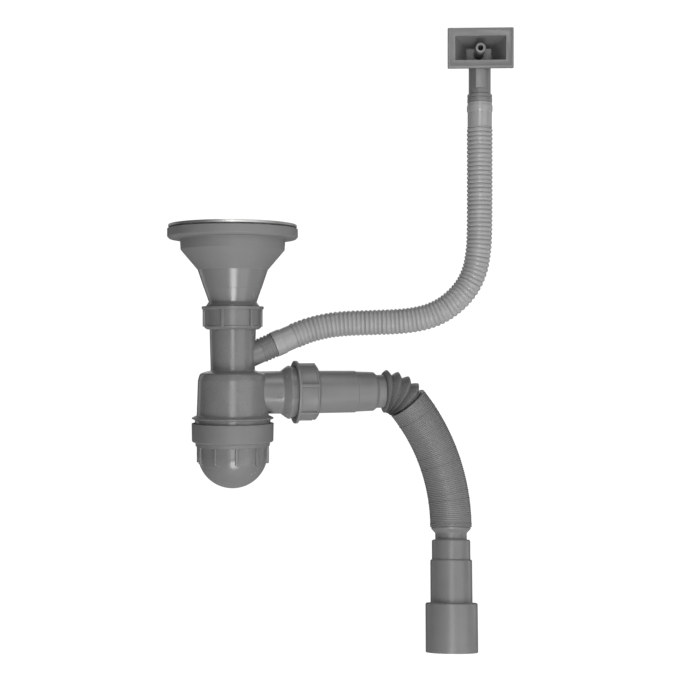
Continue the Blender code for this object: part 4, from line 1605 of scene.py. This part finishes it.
@dataclass
class OutletUnion:
    """Nut, slip washer and cone gasket that grip the smooth outlet pipe, and the pipe itself."""

    pipe_r: float = 20.5
    running: float = 0.4
    first_rib: float = -15.0
    nut_rim_r: float = 30.0
    thread_r: float = 24.2
    pipe_wall: float = 2.2
    neck_r: float = 16.0
    neck_bore_r: float = 13.5

    def build(self) -> None:
        """Build the nut, the gasket, the washer and the pipe."""
        low, high = extent("outlet_nut")
        axis_z = (low.z + high.z) / 2
        union = UnionNut(self.pipe_r + self.running, self.first_rib, rim_r=self.nut_rim_r)
        nut = union.build("outlet_nut_moulding")
        facing = Matrix.Rotation(math.radians(180), 4, "X")
        place(nut, laid_on_x(axis_z) @ Matrix.Translation((0, 0, low.x * MM)) @ facing)
        dressed(nut, FINISHES.grey, Body.OUTLET_NUT, ["outlet_nut"])
        hole_r = self.pipe_r + self.running
        flat_ring("outlet_slip_washer", Body.OUTLET_WASHER, FINISHES.washer, hole_r, along_x=True)
        self.build_gasket(axis_z)
        self.build_pipe(axis_z)

    def build_gasket(self, axis_z: float) -> None:
        """The cone gasket round the pipe."""
        low, high = extent("outlet_cone_gasket")
        gasket = turned(
            "outlet_cone_gasket_ring",
            [
                (self.thread_r, high.x, 0.3),
                (self.thread_r, low.x + 1.0, 0.3),
                (self.thread_r - 0.8, low.x, 0.2),
                (self.pipe_r + 0.3, low.x, 0.2),
                (self.pipe_r + 0.3, high.x, 0.3),
            ],
            96,
        )
        place(gasket, laid_on_x(axis_z))
        dressed(gasket, FINISHES.rubber, Body.OUTLET_SEAL, ["outlet_cone_gasket"])

    def build_pipe(self, axis_z: float) -> None:
        """The blow-moulded pipe, which steps in twice towards the hose."""
        low, high = extent("outlet_pipe")
        start, end = low.x, high.x
        step, neck = end - 29.0, end - 7.2
        wall = self.pipe_wall
        pipe = turned(
            "outlet_pipe_moulding",
            [
                (self.neck_r, end, 0.4),
                (self.neck_r, neck, 1.2),
                (self.pipe_r - 1.7, neck - 3.4, 1.6),
                (self.pipe_r - 1.1, step + 1.0, 0.5),
                (self.pipe_r - 0.35, step + 0.2, 0.4),
                (self.pipe_r, start + 1.2, 0.8),
                (self.pipe_r - 0.8, start, 0.4),
                (self.pipe_r - wall, start, 0.4),
                (self.pipe_r - wall - 0.3, step - 1.0, 1.0),
                (self.pipe_r - wall - 1.6, neck - 4.6, 1.0),
                (self.neck_bore_r, neck, 1.0),
                (self.neck_bore_r, end, 0.4),
            ],
            128,
        )
        place(pipe, laid_on_x(axis_z))
        dressed(pipe, FINISHES.grey, Body.PIPE, ["outlet_pipe"])


@dataclass
class FlexibleOutlet:
    """Opened folds at the elbow, the closed bellows, and the stepped end adapter."""

    pipe_end: float = 147.0
    gap: float = GAP
    elbow_length: float = 27.2
    elbow_exit: Point = (-50.5, -0.7)
    elbow_pitch: float = 6.9
    elbow_lead: float = 1.6
    elbow_peak: float = 20.9
    elbow_valley: float = 15.4
    bellows_length: float = 131.2
    bellows_exit: Point = (-79.8, -105.4)
    bellows_peak: float = 20.3
    bellows_valley: float = 19.85
    bellows_pitch: float = 1.9
    neck_r: float = 15.3
    neck_length: float = 11.6
    shoulder_rise: float = 4.2
    steps: tuple[Point, ...] = ((18.6, 19.0), (20.2, 41.0), (25.1, 46.6))
    wall: float = 2.3

    def build(self) -> None:
        """Build the three lengths, each from where the last one ends."""
        low, high = extent("outlet_nut")
        start = Vector((self.pipe_end + self.gap, 0, (low.z + high.z) / 2)) * MM
        first = Vector((1, 0, 0))
        leave, arrive = heading(*self.elbow_exit), heading(*self.bellows_exit)
        elbow = bend(start, first, leave, self.elbow_length * MM, 120)
        self.build_elbow(elbow)
        lead = elbow[-1] + leave * self.gap * MM
        run = bend(lead, leave, arrive, self.bellows_length * MM, 240)
        self.build_bellows(run)
        self.build_adapter(run[-1] + arrive * self.gap * MM, arrive)

    def build_elbow(self, points: Sequence[Vector]) -> None:
        """The folds that stand open round the bend."""
        hose = Corrugated(
            "hose_elbow_folds",
            self.elbow_peak,
            self.elbow_valley,
            self.elbow_pitch,
            lead=self.elbow_lead,
            pointed=0.8,
            step=0.35,
            sides=96,
        )
        piece = hose.build(points, [self.neck_r * MM] * len(points), FINISHES.bellows)
        dressed(piece, FINISHES.bellows, None, ["hose_elbow"], 60.0)
        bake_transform(piece)

    def build_bellows(self, points: Sequence[Vector]) -> None:
        """The closed rings of the concertina."""
        hose = Corrugated(
            "hose_bellows_rings",
            self.bellows_peak,
            self.bellows_valley,
            self.bellows_pitch,
            pointed=0.0,
            sharpness=1.3,
            wander=0.3,
            uneven=0.5,
            step=0.2,
            sides=96,
        )
        piece = hose.build(points, [self.bellows_valley * MM] * len(points), FINISHES.bellows)
        dressed(piece, FINISHES.bellows, None, ["hose_bellows"], 60.0)
        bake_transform(piece)

    def build_adapter(self, start: Vector, down: Vector) -> None:
        """The moulded end that steps out to two pipe sizes.

        Args:
            start: Where its neck meets the bellows, in metres.
            down: The direction in which it points.
        """
        shoulder = self.neck_r + self.shoulder_rise
        outer: list[Corner] = [(shoulder, 0.0, 0.5), (shoulder - 0.8, -1.8, 1.4), (self.neck_r, -5.4, 1.6)]
        inner: list[Corner] = [(self.neck_r - self.wall, 0.0, 0.3)]
        z = -self.neck_length
        for radius, length in self.steps:
            outer += [(outer[-1][0], z, 0.9), (radius - 0.9, z - 0.1, 0.9), (radius, z - 1.3, 0.7)]
            inner += [(inner[-1][0], z - 3.0, 1.0), (radius - self.wall, z - 4.6, 1.0)]
            z -= length
        outer.append((outer[-1][0], z, 0.8))
        inner.append((inner[-1][0], z, 0.8))
        adapter = turned("end_adapter_moulding", outer + inner[::-1], 128)
        place(adapter, lying_along(start, -down))
        dressed(adapter, FINISHES.grey, Body.ADAPTER, ["end_adapter"])


@dataclass
class OverflowHose:
    """The corrugated hose from the branch up to the head, a free hose with a cuff at each end."""

    branch_pitch: float = 24.0
    branch_length: float = 42.7
    branch_rise: float = 7.3
    gap: float = GAP
    crest: float = 12.25
    valley: float = 10.7
    cuff_r: float = 11.55
    band_r: float = 12.2
    pitch: float = 4.1
    lower_cuff: float = 21.0
    upper_cuff: float = 23.0
    parting: int = 11
    reach: float = 26.0
    route: tuple[Place, ...] = (
        (0.0000, 0.0000, 0.0000),
        (0.0117, 0.0000, 0.0050),
        (0.0227, -0.0001, 0.0097),
        (0.0357, -0.0008, 0.0145),
        (0.0527, -0.0030, 0.0185),
        (0.0707, -0.0064, 0.0205),
        (0.0937, -0.0117, 0.0214),
        (0.1157, -0.0173, 0.0223),
        (0.1327, -0.0220, 0.0242),
        (0.1479, -0.0263, 0.0282),
        (0.1612, -0.0301, 0.0351),
        (0.1729, -0.0334, 0.0451),
        (0.1821, -0.0360, 0.0573),
        (0.1883, -0.0378, 0.0722),
        (0.1913, -0.0387, 0.0889),
        (0.1924, -0.0390, 0.1069),
        (0.1927, -0.0390, 0.1379),
        (0.1927, -0.0390, 0.1709),
        (0.1927, -0.0390, 0.2029),
        (0.1927, -0.0390, 0.2309),
    )

    def points(self) -> list[Vector]:
        """The hose's centreline in metres, from the mouth of the branch to the head."""
        dome = extent("inlet_nut")[0].z - TUBE_LENGTH
        root = Vector((0, 0, dome + self.branch_rise))
        mouth = root + heading(self.branch_pitch, 0) * (self.branch_length + self.gap)
        return spline([mouth + Vector(spot) / MM for spot in self.route], 1.0)

    def cuff_radii(self, points: Sequence[Vector]) -> list[float]:
        """The radius at each point for the smooth cuffs, with a band at the foot and a bead at the top."""
        along = [0.0]
        for a, b in zip(points, points[1:]):
            along.append(along[-1] + (b - a).length / MM)
        total = along[-1]
        radii = []
        for s in along:
            from_top = total - s
            band = self.bump(s, 4.6, 4.2) + self.bump(from_top, 5.2, 2.6)
            radii.append((self.cuff_r + (self.band_r - self.cuff_r) * min(1.0, band)) * MM)
        return radii

    @staticmethod
    def bump(at: float, centre: float, half: float) -> float:
        """A soft-edged step: one within half of centre, falling to nothing over 0.8 mm."""
        return max(0.0, min(1.0, (half + 0.8 - abs(at - centre)) / 0.8))

    def build(self, head: Piece) -> None:
        """Args:
            head: The overflow head on its far end. It is not used.
        """
        points = self.points()
        hose = Corrugated(
            "overflow_hose",
            self.crest,
            self.valley,
            self.pitch,
            self.lower_cuff,
            self.upper_cuff,
            pointed=0.0,
            sharpness=0.62,
            wander=0.12,
            step=0.42,
            sides=80,
            seed=3,
        )
        piece = hose.build(points, self.cuff_radii(points), FINISHES.pale)
        dressed(piece, FINISHES.pale, None, ["overflow_hose_lower", "overflow_hose_upper"], 60.0)
        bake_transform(piece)


@dataclass
class OverflowHead:
    """The overflow inlet: face plate, tapered mouth, screw boss, neck and hose spigot."""

    turn: float = -15.5
    width: float = 62.2
    height: float = 38.2
    plate_t: float = 4.0
    mouth: Point = (48.3, 23.2)
    floor: Point = (24.6, 11.2)
    depth: float = 28.0
    wall: float = 2.2
    forward: float = 15.0
    neck_r: float = 10.45
    neck_length: float = 24.6
    bore_r: float = 7.6
    spigot_r: float = 11.8
    spigot_length: float = 7.4
    pad_w: float = 10.2
    pad_length: float = 19.4
    pad_forward: float = 12.0
    boss_r: float = 4.8
    boss_bore_r: float = 2.65
    gap: float = GAP

    def build(self, riser: Vector) -> Piece:
        """Build the head on top of the riser.

        Args:
            riser: The top of the hose, in metres.

        Returns:
            The finished head.
        """
        spigot_top = self.gap + self.spigot_length
        face_low = spigot_top + self.neck_length
        centre = face_low + self.height / 2 - 1.6
        front, back = -self.forward, self.depth - self.forward
        head = self.plate(front, centre)
        boolean(head, self.shell(front, back, centre), Operation.JOIN)
        boolean(head, self.neck(centre, spigot_top), Operation.JOIN)
        boolean(head, self.pad(face_low), Operation.JOIN)
        boolean(head, self.cavity(front, back, centre), Operation.CUT)
        boolean(head, rod("head_drain", self.bore_r, centre, -0.7, 64), Operation.CUT)
        lying = Matrix.Translation((0, 0, centre * MM)) @ Matrix.Rotation(math.radians(90), 4, "X")
        near, far = -front - 0.2, -back - 0.8
        boss = [(0, near), (self.boss_r, near, 0.5), (self.boss_r + 0.5, far), (0, far)]
        boolean(head, place(turned("head_boss", boss, 48), lying), Operation.JOIN)
        bore = rod("head_boss_bore", self.boss_bore_r, near + 1, far + 5.0, 40)
        boolean(head, place(bore, lying), Operation.CUT)
        place(head, Matrix.Translation(riser) @ Matrix.Rotation(math.radians(self.turn), 4, "Z"))
        return dressed(head, FINISHES.grey, Body.HEAD, ["overflow_head"])

    def plate(self, front: float, centre: float) -> Piece:
        """The face plate, with a fine raised lip round its edge."""
        middle = (0, front + self.plate_t / 2, centre)
        plate = block("overflow_head_moulding", (self.width, self.plate_t, self.height), middle, 0.9, 4)
        groove_size = (self.width - 4.2, 0.9, self.height - 4.2)
        groove = block("lip_recess", groove_size, (0, front, centre), 0.3, 2)
        boolean(plate, groove, Operation.CUT)
        return plate

    def taper(
        self, name: str, near: Point, far: Point, near_y: float, far_y: float, centre: float, round_by: float
    ) -> Piece:
        """A four-sided taper along Y with rounded corners.

        Args:
            name: The object's name.
            near: Its width and height at the front.
            far: Its width and height at the back.
            near_y: The front's place.
            far_y: The back's place.
            centre: The height of its middle.
            round_by: The radius of its edges.

        Returns:
            A closed solid.
        """
        shape = bmesh.new()
        rings = []
        for (width, height), y in ((near, near_y), (far, far_y)):
            places = ((-1, -1), (1, -1), (1, 1), (-1, 1))
            spots = [Vector((width / 2 * u, y, centre + height / 2 * v)) * MM for u, v in places]
            rings.append([shape.verts.new(spot) for spot in spots])
        front_ring, back_ring = rings
        shape.faces.new(front_ring)
        shape.faces.new(back_ring[::-1])
        for k in range(4):
            following = (k + 1) % 4
            shape.faces.new((front_ring[following], front_ring[k], back_ring[k], back_ring[following]))
        round_edges(shape, round_by, 4)
        bmesh.ops.recalc_face_normals(shape, faces=shape.faces)
        return from_bmesh(name, shape)

    def shell(self, front: float, back: float, centre: float) -> Piece:
        """The tapered box behind the plate."""
        extra = 2 * self.wall
        near = (self.mouth[0] + extra, self.mouth[1] + extra)
        far = (self.floor[0] + extra, self.floor[1] + extra)
        return self.taper("head_shell", near, far, front + 1.2, back + self.wall, centre, 1.2)

    def cavity(self, front: float, back: float, centre: float) -> Piece:
        """The tapered mouth."""
        reach = 3.0 / self.depth
        near = tuple(m + (m - f) * reach for m, f in zip(self.mouth, self.floor))
        return self.taper("head_cavity", near, self.floor, front - 3.0, back, centre, 0.7)

    def neck(self, centre: float, spigot_top: float) -> Piece:
        """The round neck with its beaded spigot."""
        return turned(
            "head_neck",
            [
                (0, centre - 4.0),
                (self.neck_r, centre - 4.0),
                (self.neck_r, spigot_top + 1.0, 0.6),
                (self.spigot_r, spigot_top, 0.6),
                (self.spigot_r, spigot_top - 2.0, 0.4),
                (self.spigot_r - 0.7, spigot_top - 2.6, 0.3),
                (self.spigot_r, spigot_top - 3.4, 0.4),
                (self.spigot_r, self.gap, 0.5),
                (0, self.gap),
            ],
            96,
        )

    def pad(self, face_low: float) -> Piece:
        """The flat pad down the neck's front, bevelled at its lower end."""
        back = 1.5 - self.neck_r
        size = (self.pad_w, self.pad_forward + back, self.pad_length + 2.0)
        middle = (0, (back - self.pad_forward) / 2, face_low - self.pad_length / 2 + 1.0)
        return block("head_pad", size, middle, 0.9, 3)


@dataclass
class Studio:
    """Level camera, soft boxes, pale sweep and a plain white surround."""

    azimuth: float = -13.0
    distance: float = 1.181
    across: float = 0.1013
    height: float = -0.1082
    lens: float = 66.18
    floor_drop: float = 0.75
    floor_size: float = 14.0
    surround: float = 0.09
    bounce: float = 0.14
    lights: tuple[tuple[str, float, float, float, Point, float], ...] = (
        ("strip_softbox", 1.0, 4.0, 1.55, (0.42, 1.3), 8.5),
        ("right_softbox", 44.0, 8.0, 1.5, (1.35, 1.3), 6.5),
        ("left_softbox", -130.0, 4.0, 1.5, (0.5, 1.4), 1.5),
        ("rim_softbox", 112.0, 6.0, 1.5, (0.6, 1.4), 3.0),
        ("top_softbox", 10.0, 70.0, 1.3, (0.8, 0.8), 5.0),
        ("low_softbox", 3.0, -37.0, 1.3, (0.42, 0.50), 8.0),
        ("low_right_softbox", 48.0, -30.0, 1.4, (0.8, 0.6), 2.0),
        ("back_softbox", 180.0, 25.0, 1.6, (1.2, 1.0), 3.0),
    )

    def build(self) -> None:
        """Build the camera, the lights and the floor."""
        self.build_camera()
        self.build_lights()
        self.build_floor()
        self.build_world()

    def back(self, azimuth: float, elevation: float = 0.0) -> Vector:
        """The direction from the object towards a viewer at an azimuth and elevation in degrees."""
        a, e = math.radians(azimuth), math.radians(elevation)
        return Vector((math.sin(a) * math.cos(e), -math.cos(a) * math.cos(e), math.sin(e)))

    def aim(self) -> Vector:
        """The point that the camera looks at."""
        a = math.radians(self.azimuth)
        right = Vector((math.cos(a), math.sin(a), 0))
        return right * self.across + Vector((0, 0, self.height))

    def build_camera(self) -> None:
        """A level camera with no lens shift."""
        data = bpy.data.cameras.new("camera")
        data.lens = self.lens
        data.sensor_width = 36.0
        data.clip_start, data.clip_end = 0.02, 60.0
        camera = link("camera", data)
        towards = self.back(self.azimuth)
        camera.matrix_world = lying_along(self.aim() + towards * self.distance, towards)
        camera.rotation_euler = (math.radians(90), 0, math.radians(self.azimuth))
        bpy.context.scene.camera = camera

    def build_lights(self) -> None:
        """Soft boxes round the object, all facing its middle."""
        for name, azimuth, elevation, distance, size, power in self.lights:
            data = bpy.data.lights.new(name, "AREA")
            data.shape = "RECTANGLE"
            data.size, data.size_y = size
            data.energy = power
            towards = self.back(self.azimuth + azimuth, elevation)
            light = link(name, data)
            light.matrix_world = lying_along(self.aim() + towards * distance, towards)
            light.visible_camera = False

    def build_floor(self) -> None:
        """A plain pale floor below the object."""
        level = CAD_BOX[0][2] - self.floor_drop
        half = self.floor_size / 2
        mesh = bpy.data.meshes.new("floor")
        corners = ((-1, -1), (1, -1), (1, 1), (-1, 1))
        mesh.from_pydata([(half * x, half * y, level) for x, y in corners], [], [(0, 1, 2, 3)])
        floor = link("floor", mesh)
        shader = Shader("pale_floor")
        shader.surface.inputs["Base Color"].default_value = (0.9, 0.9, 0.9, 1.0)
        shader.surface.inputs["Roughness"].default_value = 0.9
        shader.surface.inputs["Emission Color"].default_value = WHITE
        seen = shader.node("LightPath").outputs["Is Camera Ray"]
        glow = shader.spread(seen, self.bounce, 1.0, (0.0, 1.0))
        shader.wire(glow, shader.surface.inputs["Emission Strength"])
        floor.data.materials.append(shader.material)

    def build_world(self) -> None:
        """White behind the object, and a softer grey light from all round."""
        world = bpy.data.worlds.new("surround")
        world.use_nodes = True
        tree = world.node_tree
        background = tree.nodes["Background"]
        background.inputs["Color"].default_value = WHITE
        background.inputs["Strength"].default_value = self.surround
        seen = tree.nodes.new("ShaderNodeBackground")
        seen.inputs["Color"].default_value = WHITE
        seen.inputs["Strength"].default_value = 1.05
        path = tree.nodes.new("ShaderNodeLightPath")
        mix = tree.nodes.new("ShaderNodeMixShader")
        tree.links.new(path.outputs["Is Camera Ray"], mix.inputs["Fac"])
        tree.links.new(background.outputs[0], mix.inputs[1])
        tree.links.new(seen.outputs[0], mix.inputs[2])
        tree.links.new(mix.outputs[0], tree.nodes["World Output"].inputs["Surface"])
        bpy.context.scene.world = world
        bpy.context.scene.view_settings.view_transform = "Standard"


def main() -> None:
    """Build the studio, then every sub-assembly from the sink down and out."""
    Studio().build()
    hose = OverflowHose()
    hose.build(OverflowHead().build(hose.points()[-1]))
    SinkWaste().build()
    StrainerBasket().build()
    InletUnion().build()
    TrapBody().build()
    Flask().build()
    OutletUnion().build()
    FlexibleOutlet().build()


if __name__ == "__main__":
    logging.basicConfig(level=logging.INFO, format="%(name)s %(message)s")
    main()
